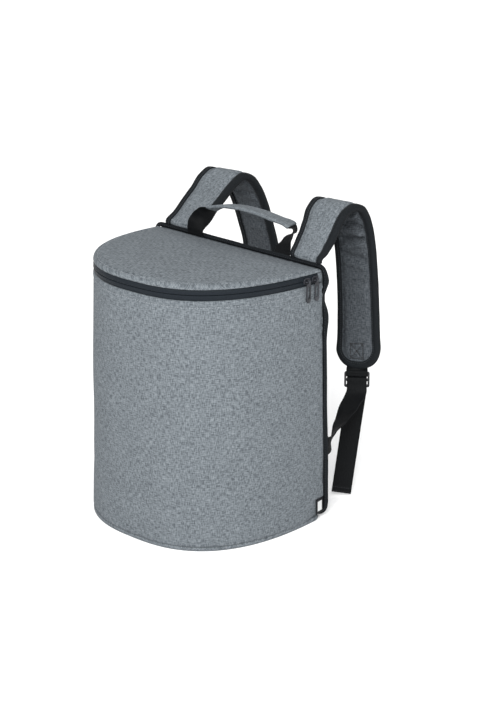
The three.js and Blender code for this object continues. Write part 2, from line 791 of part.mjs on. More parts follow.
// Short web that holds the buckle: out of the pad, round the top bar and back
function makeStrapLoop(band, frame) {
  const end = band.frame(band.length);
  const clear = buckleThick / 2 + gap + webThick / 2;
  const turnLevel = barTop - buckleBar / 2 - gap * 2 - webThick / 2;
  const leg = (hand) => {
    const start = end.at.clone().addScaledVector(end.tangent, gap * 3);
    start.addScaledVector(frame.face, hand * webThick);
    return [
      start,
      start.clone().addScaledVector(end.tangent, webThick),
      frame.point(0, hand * (clear + gap), buckleHeight / 2 + gap),
      frame.point(0, hand * clear, barTop - 1),
      frame.point(0, hand * clear * 0.85, turnLevel + gap),
    ];
  };
  const points = [...leg(1), frame.point(0, 0, turnLevel - gap), ...leg(-1).reverse()];
  const across = points.map((_, i) => (i % (points.length - 1) === 0 ? end.across : frame.across));
  const loop = new Band(points.map((at, i) => ({ at, across: across[i] })));
  return loop.sweep(spread(0, loop.length, 28), () => webSection(webWidth / 2, webThick));
}

// Free end of each adjuster. side: share of half the width. back: share of the reach of the
// straps. level: share of the level of the strap's end.
const tailEnds = {
  right: { side: 0.904, back: 0.606, level: 0.035 },
  left: { side: 0.83, back: 1.23, level: 0.198 },
};

// Adjuster web: from the side seam up behind the buckle, over its middle bar, down as a loose tail
function makeAdjuster(side, frame) {
  const hand = side === 'right' ? 1 : -1;
  const clear = buckleThick / 2 + gap + webThick / 2;
  const overLevel = barMiddle + buckleBar / 2 + gap * 2 + webThick / 2;
  const seamX = hand * (bagWidth / 2 * flareAt(tabLevel) + bindingStand / 2);
  const seam = new THREE.Vector3(seamX, gap * 2 + bindingThick, tabLevel);
  const upright = new THREE.Vector3(0, 0, 1);
  const leaving = seam.clone().add(new THREE.Vector3(0, webStandOff, 0));
  const below = frame.point(0, -clear - webDrape, -buckleHeight / 2 - webEnter);
  const flat = frame.across.clone().multiplyScalar(hand);
  const turned = (share) => upright.clone().lerp(flat, share).normalize();
  const tail = tailEnds[side];
  const tailFoot = new THREE.Vector3(
    hand * tail.side * bagWidth / 2,
    tail.back * strapReach,
    tail.level * strapEndLevel,
  );
  const tailTop = frame.point(0, clear + webThick / 2, -buckleHeight / 2 - tailLeave);
  const stations = [
    { at: seam, across: upright },
    { at: leaving, across: upright },
    { at: leaving.clone().lerp(below, 0.17), across: turned(0.35) },
    { at: leaving.clone().lerp(below, 0.45), across: turned(0.55) },
    { at: leaving.clone().lerp(below, 0.75), across: turned(0.78) },
    { at: below, across: flat },
    { at: frame.point(0, -clear, barLow), across: flat },
    { at: frame.point(0, -clear, barMiddle), across: flat },
    { at: frame.point(0, -clear * 0.85, overLevel - gap), across: flat },
    { at: frame.point(0, 0, overLevel + gap), across: flat },
    { at: frame.point(0, clear * 0.85, overLevel - gap), across: flat },
    { at: frame.point(0, clear, barMiddle), across: flat },
    { at: frame.point(0, clear, barLow), across: flat },
    { at: tailTop, across: flat },
    { at: tailTop.clone().lerp(tailFoot, 0.33), across: flat },
    { at: tailTop.clone().lerp(tailFoot, 0.67), across: flat },
    { at: tailFoot, across: flat },
  ];
  const web = new Band(stations);
  const enter = web.runOf(6);
  const leave = web.runOf(12);
  const hemStart = web.length - tailHem;
  const runs = [
    ...spread(0, enter, 20),
    ...spread(enter, leave, 34).slice(1),
    ...spread(leave, hemStart, 14).slice(1),
    hemStart + gap,
    web.length,
  ];
  const thickAt = (run) => (run > hemStart + gap / 2 ? webThick * 1.8 : webThick);
  return web.sweep(runs, (run) => webSection(webWidth / 2, thickAt(run)));
}

function addStraps() {
  for (const side of ['right', 'left']) {
    const band = strapBand(side);
    addMesh(`shoulder_strap_${side}`, makeStrapPad(band), heather);
    addMesh(`strap_binding_${side}`, makeStrapBinding(band), binding);
    const frame = buckleFrame(side, band);
    const place = new THREE.Group();
    place.applyMatrix4(frame.matrix);
    bag.add(place);
    addMesh(`buckle_${side}`, makeBuckle(), webbing, 0.5, 0, place);
    addMesh(`buckle_loop_${side}`, makeStrapLoop(band, frame), webbing);
    addMesh(`adjuster_web_${side}`, makeAdjuster(side, frame), webbing);
  }
}

// Route of the handle. span, lean and rise are shares of the half span, the lean and the rise,
// step is the share of the foot's step from the seam, turn is the turn of the web in degrees.
const handleRoute = [
  { span: -0.92, lean: 0.00, rise: 0.00, step: -1, turn: 0 },
  { span: -0.92, lean: 0.00, rise: 0.10, step: -1, turn: 4 },
  { span: -0.90, lean: 0.12, rise: 0.26, step: -1, turn: 20 },
  { span: -0.83, lean: 0.35, rise: 0.46, step: -0.6, turn: 50 },
  { span: -0.72, lean: 0.55, rise: 0.66, step: 0, turn: 80 },
  { span: -0.50, lean: 0.70, rise: 0.79, step: 0, turn: 90 },
  { span: -0.15, lean: 0.80, rise: 0.86, step: 0, turn: 90 },
  { span: 0.30, lean: 0.90, rise: 0.84, step: 0, turn: 90 },
  { span: 0.62, lean: 1.00, rise: 0.76, step: 0, turn: 90 },
  { span: 0.86, lean: 1.15, rise: 0.68, step: 0, turn: 95 },
  { span: 0.95, lean: 1.10, rise: 0.54, step: 0.4, turn: 115 },
  { span: 0.91, lean: 0.54, rise: 0.30, step: 0.8, turn: 148 },
  { span: 0.91, lean: 0.10, rise: 0.09, step: 1, turn: 174 },
  { span: 0.92, lean: 0.00, rise: 0.00, step: 1, turn: 180 },
];
const handleTilt = -10;        // degrees, back edge of the grip lower than its front edge

function addHandle() {
  const start = seamTop + gap;
  const band = new Band(handleRoute.map(({ span, lean, rise, step, turn }) => {
    const angle = THREE.MathUtils.degToRad(turn);
    const tilt = Math.sin(THREE.MathUtils.degToRad(handleTilt)) * Math.sin(angle);
    const back = seamMiddle + handleLean * lean + handleStep * step;
    return {
      at: new THREE.Vector3(handleSpan * span, back, start + handleRise * rise),
      across: new THREE.Vector3(Math.cos(angle), Math.sin(angle), tilt).normalize(),
    };
  }));
  const middle = band.length / 2;
  const grip = spread(middle - sleeveHalf, middle + sleeveHalf, 20);
  const runs = [...spread(0, grip[0], 12), ...grip.slice(1), ...spread(grip[20], band.length, 12).slice(1)];
  addMesh('handle_web', band.sweep(runs, () => webSection(webWidth / 2, webThick)), webbing);
  const half = webWidth / 2 + gap + sleeveThick;
  const inner = webWidth / 2 + gap;
  const outer = webThick / 2 + gap + sleeveThick;
  const hollow = webThick / 2 + gap;
  const shell = band.sweep(grip, () => [
    [-half, -outer],
    [half, -outer],
    [half, outer],
    [-half, outer],
  ]);
  const bore = band.sweep([grip[0] - 2, ...grip, grip[20] + 2], () => [
    [-inner, -hollow],
    [inner, -hollow],
    [inner, hollow],
    [-inner, hollow],
  ]);
  addMesh('handle_sleeve', toGeometry(toSolid(shell).subtract(toSolid(bore))), heather);
}

function addLabel() {
  const label = new THREE.BoxGeometry(labelThick, labelWidth, labelHeight);
  const mesh = addMesh('side_label', label, binding);
  const run = labelWidth / 2 + gap * 2;
  mesh.position.copy(wallPoint(run, labelLevel, gap + labelThick));
  mesh.rotation.y = -Math.atan(flare * bagWidth / 2 / bagHeight);
}

addMesh('front_panel', makeFrontPanel(), heather);
addMesh('base_panel', makeBasePanel(), heather);
addMesh('back_panel', makeBackPanel(), heather);
addMesh('back_binding', makeBackBinding(), binding);
addMesh('lid_panel', makeLidPanel(), heather);
addZip();
addStraps();
addHandle();
addLabel();
bag.position.y = bagDepth / 2;

export default bag;
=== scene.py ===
# %% [markdown]
# # A cooler backpack, dressed in Blender
#
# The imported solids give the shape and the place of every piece. This script makes the surfaces that
# are seen: heather cloth over foam, bound seams, a zip, padded straps, webbing and stitches. Lengths
# are metres, +Z is up, the rounded front faces -Y and the straps hang on the +Y side.

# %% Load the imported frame
import math

import bmesh
import bpy
import numpy as np
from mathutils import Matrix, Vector, noise


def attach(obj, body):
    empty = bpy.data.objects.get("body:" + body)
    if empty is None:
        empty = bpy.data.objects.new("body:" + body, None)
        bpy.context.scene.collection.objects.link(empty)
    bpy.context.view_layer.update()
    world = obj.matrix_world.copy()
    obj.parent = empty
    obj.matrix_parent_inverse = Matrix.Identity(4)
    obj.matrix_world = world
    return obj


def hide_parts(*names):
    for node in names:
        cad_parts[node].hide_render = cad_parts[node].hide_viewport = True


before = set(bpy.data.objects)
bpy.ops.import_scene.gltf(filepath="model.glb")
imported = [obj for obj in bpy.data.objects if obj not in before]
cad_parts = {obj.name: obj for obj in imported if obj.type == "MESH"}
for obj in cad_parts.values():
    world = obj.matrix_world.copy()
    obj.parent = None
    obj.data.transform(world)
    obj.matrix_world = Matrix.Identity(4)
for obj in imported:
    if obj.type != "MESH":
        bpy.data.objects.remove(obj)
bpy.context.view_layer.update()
print("frame loaded:", len(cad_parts), "solids")

# %% [markdown]
# ## Camera and light
#
# The bag was photographed from its front right with a long lens, a little from above, on a white
# sweep. A lens near 100 mm keeps the upright edges almost parallel. A white world gives the even
# fill, and one large soft lamp above the camera makes the middle of the front the lightest part.

# %% Camera


def add_object(name, data):
    made = bpy.data.objects.new(name, data)
    bpy.context.collection.objects.link(made)
    return made


view_direction = Vector((-0.61090869, 0.70419414, -0.36180268))
camera_data = bpy.data.cameras.new("camera")
camera_data.lens = 100.25
camera = add_object("camera", camera_data)
camera.location = (1.55643, -1.69459, 1.09625)
camera.rotation_euler = view_direction.to_track_quat("-Z", "Y").to_euler()
bpy.context.scene.camera = camera

# %% Light, world and floor
world = bpy.data.worlds.new("white studio")
bpy.context.scene.world = world
world.use_nodes = True
world.node_tree.nodes["Background"].inputs["Color"].default_value = (1.0, 1.0, 1.0, 1.0)
world.node_tree.nodes["Background"].inputs["Strength"].default_value = 1.0
bpy.context.scene.view_settings.view_transform = "Standard"


def add_lamp(name, place, aim, size, power):
    data = bpy.data.lights.new(name, "AREA")
    data.shape = "SQUARE"
    data.size = size
    data.energy = power
    lamp = add_object(name, data)
    lamp.location = place
    lamp.rotation_euler = (Vector(aim) - Vector(place)).to_track_quat("-Z", "Y").to_euler()


add_lamp("key", (1.50, -2.05, 2.05), (0, 0, 0.18), 1.6, 130)


def flat_material(name, colour, roughness):
    material = bpy.data.materials.new(name)
    material.use_nodes = True
    shader = material.node_tree.nodes["Principled BSDF"]
    shader.inputs["Base Color"].default_value = (*colour, 1.0)
    shader.inputs["Roughness"].default_value = roughness
    return material


floor_half = 9
floor_mesh = bpy.data.meshes.new("floor")
floor_mesh.from_pydata([(-floor_half, -floor_half, 0), (floor_half, -floor_half, 0),
                        (floor_half, floor_half, 0), (-floor_half, floor_half, 0)], [], [(0, 1, 2, 3)])
floor = add_object("floor", floor_mesh)
floor.data.materials.append(flat_material("white floor", (0.97, 0.97, 0.97), 0.9))
print("camera, lamp and floor ready")

# %% [markdown]
# ## Writing a material as a sum
#
# Cloth is worked out from a few patterns that are added and multiplied. A small class wraps a
# socket, so that such a sum reads as plain arithmetic and adds its own Math nodes.

# %% Shader sums


class Wire:
    """One socket of a material, with arithmetic."""

    def __init__(self, paint, socket):
        self.paint = paint
        self.socket = socket

    def math(self, operation, first, second=0.0):
        return self.paint.node("ShaderNodeMath", {"operation": operation}, [first, second])

    def __add__(self, other):
        return self.math("ADD", self, other)

    def __mul__(self, other):
        return self.math("MULTIPLY", self, other)

    def sine(self):
        return self.math("SINE", self)


class Paint:
    """A material with one Principled shader."""

    def __init__(self, name):
        self.material = bpy.data.materials.new(name)
        self.material.use_nodes = True
        self.tree = self.material.node_tree
        self.shader = self.tree.nodes["Principled BSDF"]

    def feed(self, socket, value):
        if isinstance(value, Wire):
            self.tree.links.new(value.socket, socket)
        elif socket.type == "RGBA" and len(value) == 3:
            socket.default_value = (*value, 1.0)
        else:
            socket.default_value = value

    def node(self, kind, settings, values, out=0):
        made = self.tree.nodes.new(kind)
        for key, value in settings.items():
            if key == "stops":
                ramp = made.color_ramp
                while len(ramp.elements) < len(value):
                    ramp.elements.new(0.5)
                for element, (position, colour) in zip(ramp.elements, value):
                    element.position = position
                    element.color = (*colour, 1.0)
            else:
                setattr(made, key, value)
        pairs = values.items() if isinstance(values, dict) else enumerate(values)
        for key, value in pairs:
            self.feed(made.inputs[key], value)
        return Wire(self, made.outputs[out])

    def surface(self, **values):
        for key, value in values.items():
            self.feed(self.shader.inputs[key.replace("_", " ")], value)
        return self.material

    def cloth_place(self, along, across):
        """Place on the cloth, in steps of the given lengths along and across the weave."""
        place = self.node("ShaderNodeUVMap", {"uv_map": "cloth"}, {})
        return self.node("ShaderNodeVectorMath", {"operation": "MULTIPLY"},
                         [place, (1 / along, 1 / across, 1.0)])

    def noise(self, place, detail=1.0, scale=1.0):
        return self.node("ShaderNodeTexNoise", {}, {"Vector": place, "Scale": scale, "Detail": detail})

    def grain(self, scale, detail=2.0):
        """Noise through the body of a piece, so many specks to the metre."""
        return self.noise(self.node("ShaderNodeTexCoord", {}, {}, out=3), detail, scale)

    def bump(self, height, strength, distance):
        return self.node("ShaderNodeBump", {},
                         {"Height": height, "Strength": strength, "Distance": distance})

    def split(self, place, axis):
        return self.node("ShaderNodeSeparateXYZ", {}, [place], out=axis)

    def share(self, value, low, high):
        """Share of the way from a low value to a high one."""
        return self.node("ShaderNodeMapRange", {}, [value, low, high, 0.0, 1.0])

    def blend(self, share, first, second):
        """Mix of two colours, each given as a colour and how strong it is."""
        values = {0: share}
        for key, (colour, strength) in ((6, first), (7, second)):
            values[key] = tuple(strength * c for c in colour)
        return self.node("ShaderNodeMix", {"data_type": "RGBA"}, values, out=2)


# %% [markdown]
# ## The heather cloth
#
# The grey is not one dye. Light and dark fibres are spun together, so each yarn changes its tone
# along its length, and the cloth shows short streaks both ways. Two long noises make the streaks of
# the yarns across and along, a fine one the flecks, a broad one a faint cloudiness, and two waves
# make the plain weave as bump.

# %% Heather cloth


def heather(name, dark, light):
    paint = Paint(name)
    weave, streak_length, streak_width, fleck_size, cloud_size = 0.55e-3, 6.0e-3, 1.0e-3, 0.95e-3, 26e-3
    across = paint.noise(paint.cloth_place(streak_length, streak_width))
    along = paint.noise(paint.cloth_place(streak_width, streak_length))
    fleck = paint.noise(paint.cloth_place(fleck_size, fleck_size), 2.0)
    cloud = paint.noise(paint.cloth_place(cloud_size, cloud_size), 2.0)
    tone = across * 0.40 + along * 0.40 + fleck * 0.14 + cloud * 0.06
    colour = paint.node("ShaderNodeValToRGB", {"stops": [(0.40, dark), (0.60, light)]}, [tone])
    threads = paint.cloth_place(weave / math.pi, weave / math.pi)
    height = paint.split(threads, 0).sine() * paint.split(threads, 1).sine() * 0.5 + tone
    return paint.surface(Base_Color=colour, Roughness=0.86, Specular_IOR_Level=0.15,
                         Normal=paint.bump(height, 0.35, 0.25e-3))


body_cloth = heather("heather cloth", (0.052, 0.060, 0.068), (0.154, 0.172, 0.186))
# The inner face of the straps gets this darker copy of the heather. Its colour is partly the cloth's own
# darker tone and partly painted shade, for the shade under the arch of the strap.
inner_cloth_with_painted_shade = heather("heather inner face with painted shade", (0.022, 0.026, 0.030), (0.070, 0.078, 0.087))
print("heather cloth ready")

# %% [markdown]
# ## Tape, webbing, zip tape, plastic and metal
#
# Binding is a ribbed tape: its ribs run across it, less than a millimetre apart. Webbing is woven
# in lengthwise cords with a fine zigzag. Zip tape has a dull coat. Small hard parts are moulded
# plastic with a fine grain, or dark plated metal that is worn brighter on its edges.

# %% Narrow fabrics


def ribbed_tape(name, colour, roughness):
    paint = Paint(name)
    rib_width = 0.9e-3 / (2 * math.pi)
    rib = paint.split(paint.cloth_place(rib_width, 1.0), 0).sine()
    tone = paint.noise(paint.cloth_place(2.5e-3, 1.2e-3), 3.0)
    mix = paint.blend(paint.share(rib * 0.25 + tone, 0.2, 0.9), (colour, 0.55), (colour, 1.35))
    return paint.surface(Base_Color=mix, Roughness=roughness, Specular_IOR_Level=0.1,
                         Normal=paint.bump(rib, 0.5, 0.12e-3))


def woven_web(name, colour):
    paint = Paint(name)
    cord_width, pick_width = 1.9e-3 / (2 * math.pi), 1.1e-3 / (2 * math.pi)
    place = paint.cloth_place(pick_width, cord_width)
    cord = paint.split(place, 1).sine()
    pick = (paint.split(place, 0) + cord * 1.6).sine()
    tone = paint.noise(paint.cloth_place(5e-3, 1.5e-3), 2.0)
    mix = paint.blend(paint.share(pick * 0.3 + cord * 0.2 + tone, 0.0, 1.0), (colour, 0.5), (colour, 1.6))
    return paint.surface(Base_Color=mix, Roughness=0.62, Specular_IOR_Level=0.08,
                         Normal=paint.bump(cord * 0.6 + pick * 0.4, 0.6, 0.18e-3))


binding_tape = ribbed_tape("binding tape", (0.0072, 0.0088, 0.0104), 0.78)
zip_tape = ribbed_tape("coated zip tape", (0.0080, 0.0112, 0.0150), 0.5)
webbing = woven_web("black webbing", (0.0028, 0.0032, 0.0037))

# %% Thread, plastic and metal


def thread(name, colour):
    paint = Paint(name)
    return paint.surface(Base_Color=paint.blend(paint.grain(2200.0), (colour, 0.7), (colour, 1.25)),
                         Roughness=0.6)


def moulded(name, colour):
    paint = Paint(name)
    grain = paint.grain(2600.0)
    return paint.surface(Base_Color=colour, Roughness=grain * 0.25 + 0.35, Specular_IOR_Level=0.2,
                         Normal=paint.bump(grain, 0.25, 0.1e-3))


def plated(name, colour):
    paint = Paint(name)
    wear = paint.grain(420.0, 4.0)
    edge = paint.node("ShaderNodeNewGeometry", {}, {}, out=7)
    mix = paint.blend(paint.share(edge + wear * 0.08, 0.53, 0.62), (colour, 1.0), (colour, 2.2))
    return paint.surface(Base_Color=mix, Metallic=0.4, Roughness=wear * 0.25 + 0.32,
                         Specular_IOR_Level=0.3)


grey_thread = thread("grey thread", (0.22, 0.24, 0.26))
dark_thread = thread("dark thread", (0.012, 0.015, 0.019))
black_thread = thread("black thread", (0.002, 0.002, 0.003))
black_plastic = moulded("black moulded plastic", (0.012, 0.0125, 0.014))
gunmetal = plated("gunmetal", (0.014, 0.015, 0.018))
coil_nylon = moulded("nylon coil", (0.02, 0.022, 0.025))
label_rim = ribbed_tape("label rim", (0.010, 0.011, 0.013), 0.6)
label_weave = thread("pale label weave", (0.50, 0.51, 0.51))
print("materials ready:", len(bpy.data.materials))

# %% [markdown]
# ## Surfaces made of rings
#
# Nearly every piece of this bag is a strip: the wall goes round, the binding goes round, straps and
# webbing run along. A strip is a row of rings of points, joined by quads. Each corner also gets its
# distance along and across the strip as a UV map, so the weave of the cloth follows the piece.
# The base, the lid and the back are plates, with their plan as the UV map.

# %% Loft


def finish_mesh(name, points, faces, corner_uv, material):
    mesh = bpy.data.meshes.new(name)
    mesh.from_pydata(points, [], faces)
    layer = mesh.uv_layers.new(name="cloth")
    layer.data.foreach_set("uv", np.asarray(corner_uv, dtype=np.float32).ravel())
    mesh.shade_smooth()
    mesh.materials.append(material)
    shell = bmesh.new()
    shell.from_mesh(mesh)
    if shell.calc_volume(signed=True) < 0:
        bmesh.ops.reverse_faces(shell, faces=shell.faces[:])
    shell.to_mesh(mesh)
    shell.free()
    print(f"{name}: {len(mesh.polygons)} faces")
    return add_object(name, mesh)


def ring_faces(rings, round_trip=False):
    """Points and faces: quads from ring to ring, and a fan over each end of an open strip."""
    rows, count = rings.shape[:2]
    points = rings.reshape(-1, 3).tolist()
    faces = []
    for i in range(rows if round_trip else rows - 1):
        k = (i + 1) % rows
        for j in range(count):
            n = (j + 1) % count
            faces.append((i * count + j, i * count + n, k * count + n, k * count + j))
    for row in () if round_trip else (0, rows - 1):
        centre = len(points)
        points.append(rings[row].mean(axis=0).tolist())
        for j in range(count):
            a = row * count + j
            b = row * count + (j + 1) % count
            faces.append((b, a, centre) if row == 0 else (a, b, centre))
    return points, faces


def loft(name, rings, material, round_trip=False):
    """Closed piece through rings of points, as an array of rows, points and x, y, z."""
    rings = np.asarray(rings, dtype=float)
    rows, count = rings.shape[:2]
    middle = rings.mean(axis=1)
    steps = np.linalg.norm(np.diff(middle, axis=0, append=middle[:1]), axis=1)
    along = np.concatenate([[0.0], np.cumsum(steps)])
    girth = np.linalg.norm(np.roll(rings, -1, axis=1) - rings, axis=2).mean(axis=0)
    across = np.concatenate([[0.0], np.cumsum(girth)])
    corner_uv = []
    for i in range(rows if round_trip else rows - 1):
        for j in range(count):
            corner_uv += [(along[i], across[j]), (along[i], across[j + 1]),
                          (along[i + 1], across[j + 1]), (along[i + 1], across[j])]
    for row in () if round_trip else (0, rows - 1):
        corner_uv += [(along[row], across[j]) for j in range(count) for _ in range(3)]
    points, faces = ring_faces(rings, round_trip)
    return finish_mesh(name, points, faces, corner_uv, material)


def plate(name, rings, material):
    """Closed piece from rings round one heart, with the plan as its UV map."""
    rings = np.asarray(rings, dtype=float)
    points, faces = ring_faces(rings)
    spread = np.ptp(rings.reshape(-1, 3), axis=0)
    flat, upright = ([0, 1], [2]) if spread[2] < spread[1] else ([0, 2], [1])
    plan = np.asarray(points)[:, flat] + np.asarray(points)[:, upright] * (0.8, -0.8)
    corner_uv = np.concatenate([plan[list(face)] for face in faces])
    return finish_mesh(name, points, faces, corner_uv, material)


# %% [markdown]
# ## The plan of the bag
#
# Seen from above the bag is a D: a flat back and a front that curves as a superellipse. The wall
# widens a little towards the floor. The same plan gives the wall, the zip, the hems and the lid.

# %% Named sizes of the body
bag_width, bag_depth, bag_height = 0.270, 0.188, 0.331
flare, lid_power, floor_power = 0.055, 2.43, 2.6
swell, swell_spot, swell_half, swell_foot = 0.005, 0.68, 0.26, 0.050
lid_ease = 1.5
seam_drop, wall_thick, base_thick, back_thick = 0.0069, 0.006, 0.005, 0.008
lid_thick, lid_back_thick, corner_radius, gap = 0.006, 0.0024, 0.018, 0.0003
binding_stand, binding_thick = 0.006, 0.003
tape_width, tape_thick, tape_inset = 0.0065, 0.0012, 0.0008
zip_start, end_panel_thick = 0.0076, 0.003
to_middle = bag_depth / 2
sides = ("right", "left")
hands = {"right": 1, "left": -1}

# %% Plan of the bag
plan_turn = np.linspace(0, np.pi, 361)


def plan_curve(power):
    c = np.cos(plan_turn)
    s = np.abs(np.sin(plan_turn))
    x = bag_width / 2 * np.sign(c) * np.abs(c) ** (2 / power)
    return np.stack([x, -bag_depth * s ** (2 / power)], axis=1)


lid_plan = plan_curve(lid_power)
floor_plan = plan_curve(floor_power)
plan_run = np.concatenate([[0], np.cumsum(np.linalg.norm(np.diff(lid_plan, axis=0), axis=1))])
plan_length = plan_run[-1]


def smooth_step(value, low, high):
    t = min(max((value - low) / (high - low), 0.0), 1.0)
    return t * t * (3 - 2 * t)


def swell_at(run, level):
    """How far the wall swells at the front's left, under the lid."""
    beside = min(abs(run / plan_length - swell_spot) / swell_half, 1)
    return swell * math.cos(math.pi / 2 * beside) ** 2 * smooth_step(level, swell_foot, bag_height)


def plan_at(run, level):
    """Point and outward direction of the plan at a run along the lid's edge and a height."""
    low = 1 - level / bag_height
    blend = lid_plan * (1 - low) + floor_plan * low
    reach, square_end = 0.002, 0.003

    def spot(at):
        return np.array([np.interp(at, plan_run, blend[:, 0]), np.interp(at, plan_run, blend[:, 1])])

    tangent = spot(min(run + reach, plan_length)) - spot(max(run - reach, 0))
    if run < square_end:
        tangent = np.array([0.0, -1.0])
    if run > plan_length - square_end:
        tangent = np.array([0.0, 1.0])
    tangent /= np.linalg.norm(tangent)
    out = np.array([-tangent[1], tangent[0]])
    return spot(run) + out * swell_at(run, level), out


def parting_at(y):
    return bag_height - seam_drop * np.clip(1 + y / bag_depth, 0, 1) ** 2


def corner_pull(run, level):
    from_back = min(run, plan_length - run)
    near = np.clip(1 - from_back / (corner_radius * 2), 0, 1)
    rise = np.clip(level, 0, corner_radius)
    return near ** 2 * (corner_radius - math.sqrt(corner_radius ** 2 - (corner_radius - rise) ** 2))


def wall_point(run, level, out):
    point, normal = plan_at(run, level)
    scale = 1 + flare * (1 - level / bag_height)
    spot = point * scale + normal * (out - corner_pull(run, level))
    return np.array([spot[0], spot[1] + to_middle, level])


def zip_levels(run):
    top = parting_at(plan_at(run, bag_height)[0][1])
    return top, top - tape_width - gap / 2, top - 2 * tape_width - gap


def wobble(x, y=0.0, z=0.0):
    return noise.noise(Vector((x, y, z)))


def bell(value, centre, width):
    return math.exp(-((value - centre) / width) ** 2)


print("plan of the bag:", round(plan_length, 4), "m round the front")

# %% [markdown]
# ## The front wall
#
# One length of cloth over foam goes round the front. It is soft: it swells a little between its
# seams, dips where hands have pressed it, and puckers beside each row of stitches, most where the
# cloth was turned under below the zip. These forms are added to the plan as small moves outwards.

# %% Front wall
hem_drop = 0.0085


def wall_ease(run, level, top):
    """How far the cloth stands off its plan at a place."""
    below = top - level
    swell = 0.0012 * math.sin(math.pi * min(max(level / top, 0), 1))
    broad = 0.0016 * wobble(run * 9, level * 6, 3.1) + 0.0007 * wobble(run * 26, level * 15, 7.7)
    pucker = 0.00034 * wobble(run * 150, level * 24, 1.3)
    near_hem = math.exp(-abs(below - hem_drop) / 0.007)
    near_floor = math.exp(-level / 0.014)
    hem = -0.0007 * bell(below, hem_drop, 0.0016) + 0.0004 * bell(below, hem_drop / 2, 0.0030)
    dent = -0.0016 * bell(level, 0.070, 0.010) * bell(run, plan_length * 0.80, 0.05)
    pull = 0.0
    for spot, low, lean in ((0.030, 0.288, 0.55), (0.044, 0.279, 0.35), (0.018, 0.270, 0.8)):
        ridge = level - low - lean * (run - spot)
        pull += 0.0009 * bell(ridge, 0, 0.0032) * bell(run, spot, 0.014)
    side = 0.0009 * wobble(run * 40, level * 30, 11.0) * math.exp(-min(run, plan_length - run) / 0.05)
    return swell + broad + pucker * (near_hem + near_floor + 0.25) + hem + dent + pull + side


def front_wall_rings():
    low_roll, high_roll = 0.0045, 0.0018
    rings = []
    for run in np.linspace(0, plan_length, 300):
        low = base_thick + gap
        high = zip_levels(run)[2] - gap
        outer = np.concatenate([
            low + low_roll * np.linspace(0, 1, 7) ** 1.5,
            np.linspace(low + 0.008, high - 0.020, 64),
            high - 0.018 * (1 - np.linspace(0, 1, 16)),
        ])
        ring = []
        for level in outer:
            turn_low = max(0.0, 1 - (level - low) / low_roll)
            turn_high = max(0.0, 1 - (high - level) / high_roll)
            rounding = 0.0010 * turn_low ** 2.4 + 0.0014 * turn_high ** 2
            ring.append(wall_point(run, level, wall_ease(run, level, high) - rounding))
        for level in (high, high * 0.5, corner_radius, low):
            ring.append(wall_point(run, level, -wall_thick))
        rings.append(ring)
    return rings


front_wall = loft("front_wall", front_wall_rings(), body_cloth)

# %% [markdown]
# ## The base and the lid
#
# Both are D-shaped panels. The base is a plain padded sheet with a rolled edge. The lid has a
# turned rim: the cloth is folded under along the zip, stitched a few millimetres in, and the foam
# swells again inside the stitches.

# %% Outline of the D-shaped panels
heart = np.array([0.0, -bag_depth * 0.45])


def panel_outline(count, back_corner, level, scale=1.0):
    runs = np.linspace(0, plan_length, count)
    front = [plan_at(run, level)[0] for run in runs]
    half = bag_width / 2
    back = [np.array([x, 0.0]) for x in np.linspace(-half, half, count // 2)[1:-1]]
    outline = []
    for p in front + back:
        over = max(abs(p[0]) - (half - back_corner), 0)
        behind = max(p[1] + back_corner, 0)
        reach = math.hypot(over, behind)
        shrink = back_corner / reach if reach > back_corner else 1.0
        x = math.copysign(abs(p[0]) - over + over * shrink, p[0])
        outline.append(np.array([x, p[1] - behind + behind * shrink]) * scale)
    return outline


def inset_ring(outline, inset, level_of, share=1.0):
    """Ring of a panel: drawn in by an inset, then towards the heart by a share."""
    ring = []
    for p in outline:
        away = p - heart
        reach = np.linalg.norm(away)
        left = (reach - inset) * share
        q = heart + away * left / reach
        ring.append((q[0], q[1] + to_middle, level_of(q[0], q[1], reach - left)))
    return ring


# %% Base sheet
base_outline = panel_outline(260, corner_radius * 0.8, 0.0, 1 + flare)


def base_rings():
    roll = base_thick / 2
    rings = [inset_ring(base_outline, inset, lambda x, y, d: 0.0) for inset in (0.07, 0.03, 0.006)]
    for turn in np.linspace(-90, 0, 6):
        inset = roll * (1 - math.cos(math.radians(turn)))
        level = roll + roll * math.sin(math.radians(turn))
        rings.append(inset_ring(base_outline, inset, lambda x, y, d, level=level: level))
    rings.append(inset_ring(base_outline, 0.0002, lambda x, y, d: base_thick - 0.0005))
    for inset in (0.001, 0.03, 0.07):
        rings.append(inset_ring(base_outline, inset, lambda x, y, d: base_thick))
    return rings


base_sheet = plate("base_sheet", base_rings(), body_cloth)

# %% Lid
lid_steps = 300
lid_outline = panel_outline(lid_steps, gap, bag_height)
rim_inset, lid_round, flat_inset = 0.0052, 0.0036, 0.012


def lid_top(x, y, inset):
    behind = np.clip(1 + y / bag_depth, 0, 1) ** lid_ease
    thick = lid_thick + (lid_back_thick - lid_thick) * behind
    front = np.clip(-y / 0.03, 0, 1)
    edge = math.sqrt(max(0.0, 1 - max(0.0, 1 - inset / lid_round) ** 2))
    groove = -0.0010 * bell(inset, rim_inset, 0.0013) * front
    dome = 0.0034 * (1 - math.exp(-max(inset - rim_inset, 0) / 0.03)) * front
    broad = 0.0012 * wobble(x * 11, y * 11, 5.0) * min(inset / 0.03, 1)
    pucker = 0.00015 * wobble(x * 130, y * 130, 9.0) * math.exp(-abs(inset - rim_inset) / 0.006)
    return parting_at(y) + gap + thick * edge + groove + dome + broad + pucker


def lid_rings():
    rings = []
    for inset in (0.07, 0.02, 0.004, 0.001):
        rings.append(inset_ring(lid_outline, inset, lambda x, y, d: parting_at(y) + gap))
    insets = list(lid_round * np.linspace(0, 1, 9) ** 2) + list(np.linspace(0.0042, flat_inset, 14))
    rings += [inset_ring(lid_outline, inset, lid_top) for inset in insets]
    for share in np.linspace(0.98, 0.02, 40):
        rings.append(inset_ring(lid_outline, flat_inset, lid_top, share))
    return rings


lid = plate("lid", lid_rings(), body_cloth)

